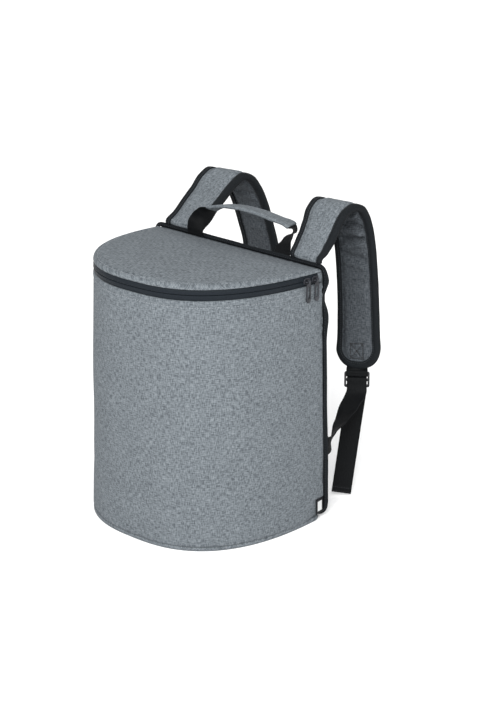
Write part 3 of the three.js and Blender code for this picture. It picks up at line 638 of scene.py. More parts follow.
# %% [markdown]
# ## The back panel and its bound seam
#
# The back is a flat padded panel, plain because the wearer's side is hidden in use. Where it meets
# the wall, the edges of both cloths stand out together, and a folded tape is sewn over them. That
# seam is never straight: it waves in and out, and is pinched just below the zip.

# %% Outline of the back
pad_top_corner, pad_low_corner = 0.008, 0.009
corner_steps, cross_steps, upright_steps = 9, 60, 70


def back_loop(grow, top_corner, low_corner):
    low = binding_stand + gap - grow
    high = parting_at(0) + lid_back_thick + grow
    low_half = bag_width / 2 * (1 + flare * (1 - low / bag_height)) + grow
    high_half = bag_width / 2 * (1 + flare * (1 - high / bag_height)) + grow
    loop = []

    def corner(x, z, to_x, to_z, end_x, end_z):
        for t in np.linspace(0, 1, corner_steps):
            loop.append(((1 - t) ** 2 * x + 2 * t * (1 - t) * to_x + t * t * end_x,
                         (1 - t) ** 2 * z + 2 * t * (1 - t) * to_z + t * t * end_z))

    def line(end_x, end_z, steps):
        start_x, start_z = loop[-1]
        for t in np.linspace(0, 1, steps)[1:-1]:
            loop.append((start_x + (end_x - start_x) * t, start_z + (end_z - start_z) * t))

    corner(low_half - low_corner, low, low_half, low, low_half, low + low_corner)
    line(high_half, high - top_corner, upright_steps)
    corner(high_half, high - top_corner, high_half, high, high_half - top_corner, high)
    line(-high_half + top_corner, high, cross_steps)
    corner(-high_half + top_corner, high, -high_half, high, -high_half, high - top_corner)
    line(-low_half, low + low_corner, upright_steps)
    corner(-low_half, low + low_corner, -low_half, low, -low_half + low_corner, low)
    line(low_half - low_corner, low, cross_steps)
    return np.array(loop)


# %% Back panel
back_middle = np.array([0.0, 0.165])


def back_panel_rings():
    loop = back_loop(0, pad_top_corner, pad_low_corner)
    edge_round = 0.005
    # Columns: inset from the outline, depth from the seam
    profile = [(0.09, 0.0), (0.02, 0.0), (0.0006, 0.0)]
    for turn in np.linspace(0, 90, 8)[:-1]:
        lean = math.radians(turn)
        inset = edge_round * (1 - math.sin(lean)) + 0.0002
        profile.append((inset, 0.001 + (back_thick - 0.002) * (1 - math.cos(lean))))
    profile.append((0.0002, back_thick - edge_round))
    for inset in 0.006 + 0.10 * np.linspace(0.02, 1, 22) ** 1.3:
        profile.append((inset, back_thick + 0.0012 * (1 - math.exp(-inset / 0.02))))
    rings = []
    for inset, depth in profile:
        away = loop - back_middle
        reach = np.linalg.norm(away, axis=1, keepdims=True)
        spot = back_middle + away * np.maximum(reach - inset, reach * 0.02) / reach
        ring = []
        for x, z in spot:
            soft = 0.0008 * wobble(x * 12, z * 12, 2.0) * min(inset / 0.03, 1) if depth > 0.004 else 0
            ring.append((x, to_middle + gap + depth + soft, z))
        rings.append(ring)
    return rings


back_pad = plate("back_pad", back_panel_rings(), body_cloth)

# %% Bound seam round the back
inner_loop = back_loop(gap, pad_top_corner, pad_low_corner)
outer_loop = back_loop(binding_stand, pad_top_corner + binding_stand, corner_radius + binding_stand)


def seam_wave(x, z):
    """How far the bound seam moves out and back at a place of the outline."""
    out = 0.0007 * wobble(x * 22, z * 22, 4.0)
    back = 0.0012 * wobble(x * 18, z * 18, 8.0)
    if abs(x) > 0.12:
        right = 1.0 if x > 0 else 0.4
        out += right * (0.0034 * bell(z, 0.314, 0.008) - 0.0052 * bell(z, 0.291, 0.010)
                        + 0.0026 * bell(z, 0.266, 0.014) - 0.0008 * bell(z, 0.236, 0.012))
        back += right * (0.0010 * bell(z, 0.300, 0.012))
    return out, back


def seam_point(inner, outer, share, depth, lowest):
    """A point that share of the way out, at a depth in halves of the seam's thickness."""
    out, back = seam_wave(outer[0], outer[1])
    away = (outer - inner) / np.linalg.norm(outer - inner)
    spot = inner + (outer - inner) * share + away * out * share
    half = binding_thick / 2
    return spot[0], to_middle + gap + half + half * depth + back * share, max(spot[1], lowest)


# Columns: share of the way out, depth in halves of the thickness
seam_section = [(0.0, -0.75), (0.30, -0.80), (0.42, -1.0), (0.80, -1.0), (0.93, -0.75), (1.0, -0.3),
                (1.0, 0.3), (0.93, 0.75), (0.80, 1.0), (0.42, 1.0), (0.30, 0.80), (0.0, 0.75)]
seam_rings = [[seam_point(inner, outer, share, depth, 0.0004) for share, depth in seam_section]
              for inner, outer in zip(inner_loop, outer_loop)]
bound_seam = loft("bound_seam", seam_rings, binding_tape, round_trip=True)

# %% [markdown]
# ## The zip
#
# Two coated tapes meet in a fine line, and the coil lies behind them. Each tape swells slightly
# towards the line. The teeth repeat by the hundred, each a small block set at an equal step along
# the line. The grey end panels close the band at the back seam.

# %% Zip tapes and end panels
tape_face = -tape_inset
zip_runs = np.linspace(zip_start, plan_length - zip_start, 260)


def tape_rings(upper):
    # Columns: share of the way from the seam to the line, rise
    face = [(0.0, -0.0006), (0.12, -0.0001), (0.5, 0.0002), (0.80, 0.0007), (0.94, 0.0005),
            (1.0, -0.0002)]
    rings = []
    for run in zip_runs:
        top, middle, bottom = zip_levels(run)
        seam_edge, lip = (top, middle + gap / 2) if upper else (bottom, middle - gap / 2)
        wave = 0.00025 * wobble(run * 60, 1.0 if upper else 2.0)
        ring = [wall_point(run, seam_edge + (lip - seam_edge) * share, tape_face + rise + wave)
                for share, rise in face]
        ring += [wall_point(run, lip, tape_face - tape_thick),
                 wall_point(run, seam_edge, tape_face - tape_thick)]
        rings.append(ring)
    return rings


zip_tape_upper = loft("zip_tape_upper", tape_rings(True), zip_tape)
zip_tape_lower = loft("zip_tape_lower", tape_rings(False), zip_tape)


def end_panel_rings(side):
    span = np.linspace(0, zip_start - gap, 10)
    runs = span if side > 0 else plan_length - span[::-1]
    rings = []
    for run in runs:
        top, _, bottom = zip_levels(run)
        ring = []
        for share in np.linspace(0, 1, 20):
            turned_in = 0.0016 * math.exp(-min(share, 1 - share) / 0.07)
            out = 0.0006 * math.sin(math.pi * share) - gap - turned_in
            ring.append(wall_point(run, bottom + (top - bottom) * share, out))
        ring += [wall_point(run, top, -end_panel_thick), wall_point(run, bottom, -end_panel_thick)]
        rings.append(ring)
    return rings


zip_end_right = loft("zip_end_right", end_panel_rings(1), body_cloth)
zip_end_left = loft("zip_end_left", end_panel_rings(-1), body_cloth)

# %% [markdown]
# ## One tree for stitches and one for teeth
#
# A seam is drawn as a line, and a node tree sets a short thread at equal steps along it. The same
# kind of tree sets the teeth of the zip. Each has named inputs for its sizes. The result becomes a
# plain mesh.

# %% Repeats along a line


def repeat_tree(name, block):
    """Node tree that sets a small block, or else a short round thread, along a line."""
    tree = bpy.data.node_groups.new(name, "GeometryNodeTree")
    tree.interface.new_socket("Line", in_out="INPUT", socket_type="NodeSocketGeometry")
    for label, value in (("Pitch", 0.003), ("Length", 0.0022), ("Radius", 0.0003)):
        socket = tree.interface.new_socket(label, in_out="INPUT", socket_type="NodeSocketFloat")
        socket.default_value = value
    tree.interface.new_socket("Finish", in_out="INPUT", socket_type="NodeSocketMaterial")
    tree.interface.new_socket("Pieces", in_out="OUTPUT", socket_type="NodeSocketGeometry")
    add = tree.nodes.new
    join = tree.links.new
    given = add("NodeGroupInput")
    line = add("GeometryNodeMeshToCurve")
    join(given.outputs["Line"], line.inputs["Mesh"])
    steps = add("GeometryNodeResampleCurve")
    steps.mode = "LENGTH"
    join(line.outputs["Curve"], steps.inputs["Curve"])
    join(given.outputs["Pitch"], steps.inputs["Length"])
    size = add("ShaderNodeCombineXYZ")
    for axis in "XYZ":
        join(given.outputs["Length" if axis == ("Y" if block else "Z") else "Radius"], size.inputs[axis])
    if block:
        shape = add("GeometryNodeMeshCube")
        join(size.outputs["Vector"], shape.inputs["Size"])
        one = shape.outputs["Mesh"]
    else:
        shape = add("GeometryNodeMeshUVSphere")
        for label, value in (("Segments", 6), ("Rings", 4), ("Radius", 0.5)):
            shape.inputs[label].default_value = value
        stretch = add("GeometryNodeTransform")
        join(shape.outputs["Mesh"], stretch.inputs["Geometry"])
        join(size.outputs["Vector"], stretch.inputs["Scale"])
        one = stretch.outputs["Geometry"]
    tangent = add("GeometryNodeInputTangent")
    turn = add("FunctionNodeAlignRotationToVector")
    turn.axis = "Z"
    join(tangent.outputs["Tangent"], turn.inputs["Vector"])
    place = add("GeometryNodeInstanceOnPoints")
    join(steps.outputs["Curve"], place.inputs["Points"])
    join(one, place.inputs["Instance"])
    join(turn.outputs["Rotation"], place.inputs["Rotation"])
    real = add("GeometryNodeRealizeInstances")
    join(place.outputs["Instances"], real.inputs["Geometry"])
    dress = add("GeometryNodeSetMaterial")
    join(real.outputs["Geometry"], dress.inputs["Geometry"])
    join(given.outputs["Finish"], dress.inputs["Material"])
    out = add("NodeGroupOutput")
    join(dress.outputs["Geometry"], out.inputs["Pieces"])
    return tree


stitch_tree = repeat_tree("stitches along a seam", False)
coil_tree = repeat_tree("teeth along the zip", True)


def repeat_along(name, lines, tree, material, pitch, length, radius):
    """Sets one small shape at equal steps along each line of points."""
    points = []
    edges = []
    for line in lines:
        start = len(points)
        points += [tuple(p) for p in line]
        edges += [(start + i, start + i + 1) for i in range(len(line) - 1)]
    mesh = bpy.data.meshes.new(name + "_line")
    mesh.from_pydata(points, edges, [])
    holder = add_object(name + "_line", mesh)
    modifier = holder.modifiers.new("repeat", "NODES")
    modifier.node_group = tree
    wanted = {"Pitch": pitch, "Length": length, "Radius": radius, "Finish": material}
    for item in tree.interface.items_tree:
        if item.in_out == "INPUT" and item.name in wanted:
            modifier[item.identifier] = wanted[item.name]
    ready = holder.evaluated_get(bpy.context.evaluated_depsgraph_get())
    made = bpy.data.meshes.new_from_object(ready)
    bpy.data.objects.remove(holder)
    bpy.data.meshes.remove(mesh)
    made.name = name
    made.shade_smooth()
    print(f"{name}: {len(made.polygons)} faces")
    return add_object(name, made)


def stitches(name, lines, material, length=0.0026, step=0.0034, thick=0.00055):
    return repeat_along(name, lines, stitch_tree, material, step, length, thick)


# %% Zip teeth and the stitches of the body
coil_line = [wall_point(run, zip_levels(run)[1], tape_face - tape_thick - 0.0012) for run in zip_runs]
zip_teeth = repeat_along("zip_teeth", [coil_line], coil_tree, coil_nylon, 0.0015, 0.0009, 0.0018)
zip_teeth.data.polygons.foreach_set("use_smooth", [False] * len(zip_teeth.data.polygons))

stitch_end, stitch_rise = 0.004, 0.00012
seam_runs = np.linspace(stitch_end, plan_length - stitch_end, 420)


def wall_line(drop):
    line = []
    for run in seam_runs:
        high = zip_levels(run)[2] - gap
        line.append(wall_point(run, high - drop, wall_ease(run, high - drop, high) + stitch_rise))
    return line


lid_line = inset_ring(lid_outline[1:lid_steps - 1], rim_inset,
                      lambda x, y, d: lid_top(x, y, rim_inset) + stitch_rise)
body_stitches = stitches("body_stitches", [wall_line(hem_drop), lid_line], grey_thread)

seam_lines = []
for face in (-1, 1):
    line = [seam_point(inner, outer, 0.5, face * 1.04, 0.0006)
            for inner, outer in zip(inner_loop, outer_loop)]
    seam_lines.append(line + line[:1])
seam_stitches = stitches("seam_stitches", seam_lines, dark_thread)

# %% [markdown]
# ## Bands: straps, webbing and handle
#
# A band follows a smooth line through a few stations, and each station says which way the band lies
# across. Points on it are given by run, across and rise, so padding, binding and stitches all
# follow the same line. The line is the same centripetal curve as in the solids.

# %% Band


class Band:
    """A smooth line through stations, each with its place, its direction across and its width."""

    steps = 24

    def __init__(self, stations):
        self.spots = np.array([s[0] for s in stations], dtype=float)
        self.across = [np.array(s[1], dtype=float) for s in stations]
        self.wide = [s[2] if len(s) > 2 else 1.0 for s in stations]
        self.samples = self.steps * (len(stations) - 1)
        line = np.array([self.at(i / self.samples) for i in range(self.samples + 1)])
        self.runs = np.concatenate([[0], np.cumsum(np.linalg.norm(np.diff(line, axis=0), axis=1))])
        self.length = self.runs[-1]

    def at(self, t):
        spots = self.spots
        last = len(spots) - 1
        i = min(int(t * last), last - 1)
        w = t * last - i
        p1, p2 = spots[i], spots[i + 1]
        p0 = spots[i - 1] if i > 0 else 2 * p1 - p2
        p3 = spots[i + 2] if i + 2 <= last else 2 * p2 - p1
        d0 = max(np.linalg.norm(p1 - p0) ** 0.5, 1e-4)
        d1 = max(np.linalg.norm(p2 - p1) ** 0.5, 1e-4)
        d2 = max(np.linalg.norm(p3 - p2) ** 0.5, 1e-4)
        m1 = ((p1 - p0) / d0 - (p2 - p0) / (d0 + d1) + (p2 - p1) / d1) * d1
        m2 = ((p2 - p1) / d1 - (p3 - p1) / (d1 + d2) + (p3 - p2) / d2) * d1
        return (p1 + m1 * w + (-3 * p1 + 3 * p2 - 2 * m1 - m2) * w ** 2
                + (2 * p1 - 2 * p2 + m1 + m2) * w ** 3)

    def frame(self, run):
        """Point, tangent, direction across, direction up and width share at a run."""
        t = np.interp(run, self.runs, np.arange(self.samples + 1)) / self.samples
        near = 1e-4
        tangent = self.at(min(t + near, 1.0)) - self.at(max(t - near, 0.0))
        tangent /= np.linalg.norm(tangent)
        spot = min(t * (len(self.across) - 1), len(self.across) - 1.001)
        i = int(spot)
        part = spot - i
        part = part * part * (3 - 2 * part)
        across = self.across[i] * (1 - part) + self.across[i + 1] * part
        across = across - across.dot(tangent) * tangent
        across /= np.linalg.norm(across)
        wide = self.wide[i] * (1 - part) + self.wide[i + 1] * part
        return self.at(t), tangent, across, np.cross(across, tangent), wide

    def ring(self, run, section):
        at, tangent, across, up, wide = self.frame(run)
        extra = run - min(max(run, 0.0), self.length)
        at = at + tangent * extra
        return [at + across * a * wide + up * r for a, r in section]

    def point(self, run, across, rise):
        return self.ring(run, [(across, rise)])[0]


# %% Routes of the straps
strap_inwards = 0.036
strap_width, strap_thick, strap_spread = 0.062, 0.010, 0.028
strap_centre = bag_width / 2 - strap_inwards
strap_rise, strap_reach, strap_end_level, strap_end_round = 0.054, 0.104, 0.172, 0.027
edge_tape, edge_tape_thick = 0.009, 0.0012
seam_top = parting_at(0) + lid_back_thick + binding_stand
seam_middle = gap + binding_thick / 2

# Columns: side share, reach share, level share, width share, yaw in degrees
strap_routes = {
    "right": [
        (0.36, 0.00, 0.00, 0.76, 0), (0.36, 0.00, 0.07, 0.78, 0), (0.29, 0.11, 0.20, 0.83, 2),
        (0.21, 0.24, 0.40, 0.90, 4), (0.18, 0.33, 0.62, 0.94, 4), (0.14, 0.44, 0.88, 0.97, 0),
        (0.11, 0.60, 1.00, 1.00, -5), (0.11, 0.76, 0.90, 1.00, -6), (0.11, 0.86, 0.68, 1.00, -5),
        (0.14, 0.93, 0.36, 1.00, -4), (0.18, 0.98, -0.03, 1.00, -3), (0.25, 1.00, -0.20, 1.00, -2),
        (0.43, 0.98, -0.45, 1.00, -2), (0.71, 0.91, -0.76, 1.00, -4), (0.88, 0.85, -0.89, 0.99, -10),
        (0.98, 0.80, -1.00, 0.97, -17),
    ],
    "left": [
        (-0.30, 0.00, 0.00, 1.00, 0), (-0.30, 0.00, 0.07, 1.00, 0), (-0.29, 0.13, 0.18, 1.00, 3),
        (-0.22, 0.30, 0.39, 1.00, 5), (-0.14, 0.51, 0.62, 1.00, 2), (-0.07, 0.69, 0.83, 1.00, -6),
        (-0.04, 0.86, 0.93, 1.00, -8), (-0.04, 1.02, 0.80, 1.00, -6), (-0.07, 1.16, 0.50, 1.00, -3),
        (-0.11, 1.28, 0.08, 1.00, 0), (-0.18, 1.38, -0.17, 1.00, 2), (-0.29, 1.45, -0.37, 1.00, 3),
        (-0.29, 1.46, -0.62, 1.00, 4), (-0.14, 1.40, -0.82, 1.00, 8), (0.00, 1.32, -1.00, 1.00, 14),
    ],
}


def crossed(yaw):
    turn = math.radians(yaw)
    return (math.cos(turn), -math.sin(turn), 0.0)


def strap_band(side):
    hand = hands[side]
    start = seam_top + gap * 2
    stations = []
    for out, reach, level, wide, yaw in strap_routes[side]:
        height = start + (strap_rise if level >= 0 else start - strap_end_level) * level
        x = hand * (strap_centre + strap_spread * out)
        stations.append(((x, to_middle + seam_middle + strap_reach * reach, height), crossed(yaw), wide))
    return Band(stations)


strap_bands = {side: strap_band(side) for side in sides}
print("strap lengths:", {side: round(b.length, 3) for side, b in strap_bands.items()})

# %% [markdown]
# ## The padded shoulder straps
#
# Foam is sewn between two cloths. The strap is pressed flat in the back seam and under its binding,
# and swells between. Where it bends over the arch, the inner cloth is too long and falls into
# cross folds, which the photograph shows near the top. Each surface is moved point by point.

# %% Strap forms
pad_gap = 0.0005
edge_press = 0.55


def strap_half(run, length, inset):
    """Half the width of a strap at a run, drawn in by an inset."""
    past = max(run - (length - strap_end_round), 0)
    chord = math.sqrt(max((strap_end_round - inset) ** 2 - past ** 2, 0))
    return strap_width / 2 - strap_end_round + chord


def strap_full(run):
    """Half the thickness of a strap, pressed flat where it enters the back seam."""
    return strap_thick / 2 * (0.4 + 0.6 * smooth_step(run, 0, strap_thick * 2.4))


def strap_depth(run, across, length):
    """How far a place on a strap lies inside its edge."""
    past = run - (length - strap_end_round)
    beside = abs(across) - (strap_width / 2 - strap_end_round)
    if past > 0 and beside > 0:
        return strap_end_round - math.hypot(past, beside)
    return strap_end_round - past if past > 0 else strap_width / 2 - abs(across)


# Cross folds on the inner face. Columns: run, depth, width, lean across the strap
inner_folds = {
    "right": [(0.112, 0.0050, 0.0040, 0.20), (0.134, 0.0065, 0.0045, -0.25),
              (0.156, 0.0055, 0.0040, 0.15), (0.181, 0.0036, 0.0050, -0.2),
              (0.215, 0.0024, 0.0060, 0.1)],
    "left": [(0.128, 0.0012, 0.0050, 0.20), (0.150, 0.0017, 0.0050, -0.20),
             (0.172, 0.0012, 0.0055, 0.15), (0.200, 0.0010, 0.0060, -0.1)],
}
fold_ridge = 0.009
box_low, box_high, box_half, box_margin = 0.0125, 0.0310, 0.0088, 0.003


def box_groove(back, across):
    """Dip under the sewn square and its cross, near the end of a strap."""
    beyond = max(box_low - back, back - box_high, abs(across) - box_half)
    if beyond >= box_margin:
        return 0.0
    u = (back - box_low) / (box_high - box_low) * 2 - 1
    v = across / box_half
    inside = max(abs(u), abs(v))
    nearest = abs(inside - 1)
    if inside < 1:
        nearest = min(nearest, abs(abs(u) - abs(v)) * 0.7)
    return 0.0009 * bell(nearest * box_half, 0, 0.0011)


def pad_rise(side, run, across, length, outer):
    """How far a face of the padding stands off the middle of the strap."""
    depth = strap_depth(run, across, length)
    under_tape = edge_tape + pad_gap
    open_share = smooth_step(depth, under_tape + 0.0002, under_tape + 0.0075)
    inset = edge_tape_thick + pad_gap
    rim = min(max((depth - inset) / 0.002, 0.0), 1.0)
    full = strap_full(run)
    rise = full * (edge_press * (1 + rim) / 2 * (1 - open_share) + 1.10 * open_share)
    soft = open_share * (0.0006 * wobble(run * 30, across * 25, 1.0 if outer else 6.0)
                         + 0.00025 * wobble(run * 140, across * 90, 2.0))
    if not outer:
        for start, deep, width, lean in inner_folds[side]:
            place = run + lean * across
            crooked = 0.003 * wobble(across * 60, start * 90)
            soft -= deep * open_share * bell(place + crooked, start, width)
            soft += 0.6 * deep * open_share * bell(place, start + fold_ridge, width)
    return rise + soft - box_groove(length - run, across)


pad_shares = np.concatenate([-np.linspace(1, 0.5, 16), np.linspace(-0.5, 0.5, 26)[1:-1],
                             np.linspace(0.5, 1, 16)])


def pad_rings(side):
    band = strap_bands[side]
    length = band.length
    inset = edge_tape_thick + pad_gap
    straight = length - strap_end_round
    tip = strap_end_round - inset
    tip_turns = np.linspace(0, 1, 22)[1:] * 1.555
    runs = np.concatenate([np.linspace(0, straight, 230), straight + tip * np.sin(tip_turns)])
    rings = []
    for run in runs:
        half = strap_half(run, length, inset)
        upper = [(half * s, pad_rise(side, run, half * s, length, True)) for s in pad_shares]
        lower = [(half * s, -pad_rise(side, run, half * s, length, False)) for s in pad_shares]
        rings.append(band.ring(run, lower + upper[::-1]))
    return rings


strap_pads = {side: loft(f"strap_pad_{side}", pad_rings(side), body_cloth) for side in sides}

# %% Two cloths on each pad; the inner one is the darker heather, which holds painted shade
for pad in strap_pads.values():
    pad.data.materials.append(inner_cloth_with_painted_shade)
    count = len(pad_shares)
    rows = len(pad.data.polygons) // (count * 2)
    for face in pad.data.polygons:
        if face.index < rows * count * 2 and face.index % (count * 2) < count - 1:
            face.material_index = 1

# %% [markdown]
# ## Binding of the straps
#
# A ribbed tape is folded over the edge of each strap, all the way round its end, and stitched
# through. It follows the edge, a little uneven, and stands just proud of the padding.

# %% Strap binding


def tape_inner(run):
    return strap_full(run) * edge_press + pad_gap


def binding_section(run, place):
    """Section of the folded tape, as inwards and rise, at a run and a place along the edge."""
    inner = tape_inner(run)
    outer = inner + edge_tape_thick
    slim = inner / 2
    wave = 0.0004 * wobble(place * 55, 3.0)
    width = edge_tape + 0.0004 * wobble(place * 70, 5.0)
    upper = [
        (edge_tape_thick, slim), (0.0035, inner), (width, inner), (width, outer - 0.0004),
        (width - 0.0006, outer), (width * 0.5, outer + 0.0003), (0.002, outer),
        (0.0006 + wave, slim + 0.0009), (0.0 + wave, slim),
    ]
    return [(inwards, -rise) for inwards, rise in upper[::-1]] + upper


edge_steps, round_steps = 200, 20


def edge_path(length):
    """Rows round the edge of a strap: run, across, outward turn, and the step from the last row."""
    half = strap_width / 2
    straight = length - strap_end_round
    step = straight / edge_steps
    round_step = strap_end_round * math.pi / (2 * round_steps - 2)
    path = [(run, -half, math.pi, step) for run in np.linspace(0, straight, edge_steps)]
    for hand, first, last in ((-1, math.pi, math.pi / 2), (1, math.pi / 2, 0)):
        for turn in np.linspace(first, last, round_steps)[1:]:
            run = straight + strap_end_round * math.sin(turn)
            across = hand * (half - strap_end_round) + strap_end_round * math.cos(turn)
            path.append((run, across, turn, round_step))
    return path + [(run, half, 0.0, step) for run in np.linspace(straight, 0, edge_steps)[1:]]


def edge_points(side, section_of):
    """Rings of a piece that follows the edge of a strap; section_of gives inwards and rise."""
    band = strap_bands[side]
    rings = []
    place = 0.0
    for run, across, turn, step in edge_path(band.length):
        place += step
        rings.append([band.point(run - inwards * math.sin(turn), across - inwards * math.cos(turn), rise)
                      for inwards, rise in section_of(run, place)])
    return rings


strap_edges = {}
for side in sides:
    strap_edges[side] = loft(f"strap_edge_{side}", edge_points(side, binding_section), binding_tape)

# %% Stitches of the straps


def tape_stitch(side, face):
    """Line of stitches through the binding, on one face of a strap."""
    def on_tape(run, _):
        return [(edge_tape - 0.0018, face * (tape_inner(run) + edge_tape_thick + 0.0002))]
    return [ring[0] for ring in edge_points(side, on_tape)]


def strap_box(side, face):
    """A square with a cross, sewn where the web under the pad is held."""
    band = strap_bands[side]
    length = band.length
    low, high = length - box_low, length - box_high
    corners = [(low, -box_half), (low, box_half), (high, box_half), (high, -box_half)]
    runs = [(corners[i], corners[(i + 1) % 4]) for i in range(4)]
    runs += [(corners[0], corners[2]), (corners[1], corners[3])]
    lines = []
    for (run_a, across_a), (run_b, across_b) in runs:
        line = []
        for t in np.linspace(0, 1, 12):
            run = run_a + (run_b - run_a) * t
            across = across_a + (across_b - across_a) * t
            rise = pad_rise(side, run, across, length, face > 0) + 0.0001
            line.append(band.point(run, across, face * rise))
        lines.append(line)
    return lines


strap_stitches = {}
box_stitches = {}
for side in sides:
    tape_lines = [tape_stitch(side, -1), tape_stitch(side, 1)]
    strap_stitches[side] = stitches(f"strap_stitches_{side}", tape_lines, dark_thread,
                                    length=0.0022, step=0.0029, thick=0.0006)
    box_lines = strap_box(side, -1) + strap_box(side, 1)
    box_stitches[side] = stitches(f"box_stitches_{side}", box_lines, black_thread,
                                  length=0.0028, step=0.0027, thick=0.0015)

# %% [markdown]
# ## Buckles, loops and adjuster webs
#
# A short loop of web leaves each pad and holds a slide buckle. The adjuster comes from the side
# seam, goes up behind the buckle, over its middle bar and hangs down in front as a loose tail with
# a folded hem.

# %% Frame of a buckle
web_width, web_thick, tab_level = 0.025, 0.0014, 0.097
buckle_height, buckle_thick, buckle_bar, buckle_drop = 0.020, 0.004, 0.0032, 0.004
web_leave, web_drape, web_enter, tail_leave = 0.004, 0.0015, 0.005, 0.004
bar_top, bar_middle, bar_low = (buckle_height - buckle_bar) / 2, -0.0005, (buckle_bar - buckle_height) / 2
web_clear = buckle_thick / 2 + gap + web_thick / 2
loop_sewn, loop_leaves, loop_wider = 0.003, 0.005, 0.0010
# Columns: side share of half the width, back share of the reach, level share of the strap's end
tail_ends = {"right": (0.904, 0.606, 0.035), "left": (0.83, 1.23, 0.198)}


def unit(vector):
    return vector / np.linalg.norm(vector)


def buckle_frame(side):
    """Where a buckle hangs: a function for its points, and its own and its strap's directions."""
    band = strap_bands[side]
    at, tangent, strap_across, _, _ = band.frame(band.length)
    across = np.array(crossed(-38 if side == "right" else 22))
    up = -tangent * 0.5 + np.array([0, 0, 1.0]) * 0.5
    up = unit(up - across * up.dot(across))
    face = np.cross(up, across)
    centre = at + up * (-buckle_drop - buckle_height / 2)

    def point(x, y, z):
        return centre + across * x + face * y + up * z

    return {"point": point, "across": across, "face": face, "up": up, "end": at,
            "tangent": tangent, "strap_across": strap_across}


buckle_frames = {side: buckle_frame(side) for side in sides}

# %% Webs


def web_section(half, thick):
    edge = thick * 0.32
    upper = [(-half, edge), (-half + 0.0004, thick / 2)]
    for i, across in enumerate(np.linspace(-half + 0.0012, half - 0.0012, 9)):
        upper.append((across, thick / 2 + 0.00008 * math.sin(i * 2.2)))
    upper += [(half - 0.0004, thick / 2), (half, edge)]
    return [(a, -r) for a, r in upper] + upper[::-1]


def loop_rings(side):
    """The short web that leaves a pad, turns under the top bar of the buckle and goes back."""
    f = buckle_frames[side]
    turn_level = bar_top - buckle_bar / 2 - gap * 2 - web_thick / 2 - 0.0009

    def leg(hand):
        start = f["end"] - f["tangent"] * loop_sewn + f["face"] * hand * web_thick
        return [start, start + f["tangent"] * loop_leaves,
                f["point"](0, hand * (web_clear + gap), buckle_height / 2 + gap),
                f["point"](0, hand * web_clear, bar_top - 0.001),
                f["point"](0, hand * web_clear * 0.85, turn_level + gap)]

    points = leg(1) + [f["point"](0, 0, turn_level - gap)] + leg(-1)[::-1]
    across = [f["strap_across"]] + [f["across"]] * (len(points) - 2) + [f["strap_across"]]
    band = Band(list(zip(points, across)))
    section = web_section(web_width / 2 + loop_wider, web_thick)
    return [band.ring(run, section) for run in np.linspace(0, band.length, 90)]


def adjuster_band(side):
    f = buckle_frames[side]
    point = f["point"]
    hand = hands[side]
    over = bar_middle + buckle_bar / 2 + gap * 2 + web_thick / 2
    seam_x = hand * (bag_width / 2 * (1 + flare * (1 - tab_level / bag_height)) + binding_stand / 2)
    seam = np.array([seam_x, to_middle + gap * 2 + binding_thick, tab_level])
    upright = np.array([0, 0, 1.0])
    leaving = seam + np.array([0, web_leave, 0])
    below = point(0, -web_clear - web_drape, -buckle_height / 2 - web_enter)
    flat = f["across"] * hand
    share_out, share_back, share_level = tail_ends[side]
    foot = np.array([hand * share_out * bag_width / 2, to_middle + share_back * strap_reach,
                     share_level * strap_end_level])
    tail_top = point(0, web_clear + web_thick / 2, -buckle_height / 2 - tail_leave)
    stations = [(seam, upright), (leaving, upright)]
    for share, turned in ((0.17, 0.35), (0.45, 0.55), (0.75, 0.78)):
        across = unit(upright * (1 - turned) + flat * turned)
        stations.append((leaving + (below - leaving) * share, across))
    stations.append((below, flat))
    # Behind the buckle, over its middle bar, and down its front. Columns: share of the clearance, level
    for share, level in ((-1, bar_low), (-1, bar_middle), (-0.85, over - gap), (0, over + gap),
                         (0.85, over - gap), (1, bar_middle), (1, bar_low)):
        stations.append((point(0, web_clear * share, level), flat))
    stations.append((tail_top, flat))
    for share in (0.33, 0.67):
        stations.append((tail_top + (foot - tail_top) * share, flat))
    return Band(stations + [(foot, flat)])


hem = 0.009
adjuster_bands = {side: adjuster_band(side) for side in sides}


def adjuster_rings(side):
    band = adjuster_bands[side]
    rings = []
    hem_start = band.length - hem
    for run in np.concatenate([np.linspace(0, hem_start, 330), hem_start + np.linspace(0.0002, hem, 14)]):
        from_end = band.length - run
        thick = web_thick * (1.0 + 0.85 * smooth_step(hem - from_end, 0.0, 0.0006))
        end_round = math.sqrt(max(0.0, 1 - max(0.0, 1 - from_end / 0.0009) ** 2))
        rings.append(band.ring(run, web_section(web_width / 2, thick * max(end_round, 0.35))))
    return rings


web_loops = {}
adjusters = {}
for side in sides:
    web_loops[side] = loft(f"web_loop_{side}", loop_rings(side), webbing)
    adjusters[side] = loft(f"adjuster_{side}", adjuster_rings(side), webbing)

hem_lines = []
for band in adjuster_bands.values():
    for back in (0.0022, 0.0074):
        for rise in (-1, 1):
            line = [band.point(band.length - back, a, rise * (web_thick * 0.93 + 0.00015))
                    for a in np.linspace(-web_width / 2 + 0.0012, web_width / 2 - 0.0012, 10)]
            hem_lines.append(line)
web_stitches = stitches("web_stitches", hem_lines, dark_thread, length=0.0020, step=0.0026, thick=0.0005)

# %% [markdown]
# ## The grab handle
#
# A black web, sewn into the back seam at both ends, with a grey sleeve of the body cloth wrapped
# round its middle. The sleeve is soft and a little fuller than the web, with a row of stitches
# along each edge.

# %% Handle
handle_span, handle_rise, handle_step, handle_lean = 0.074, 0.045, 0.0038, 0.020
sleeve_thick, sleeve_half, handle_tilt, handle_sewn = 0.001, 0.062, -10, 0.0045
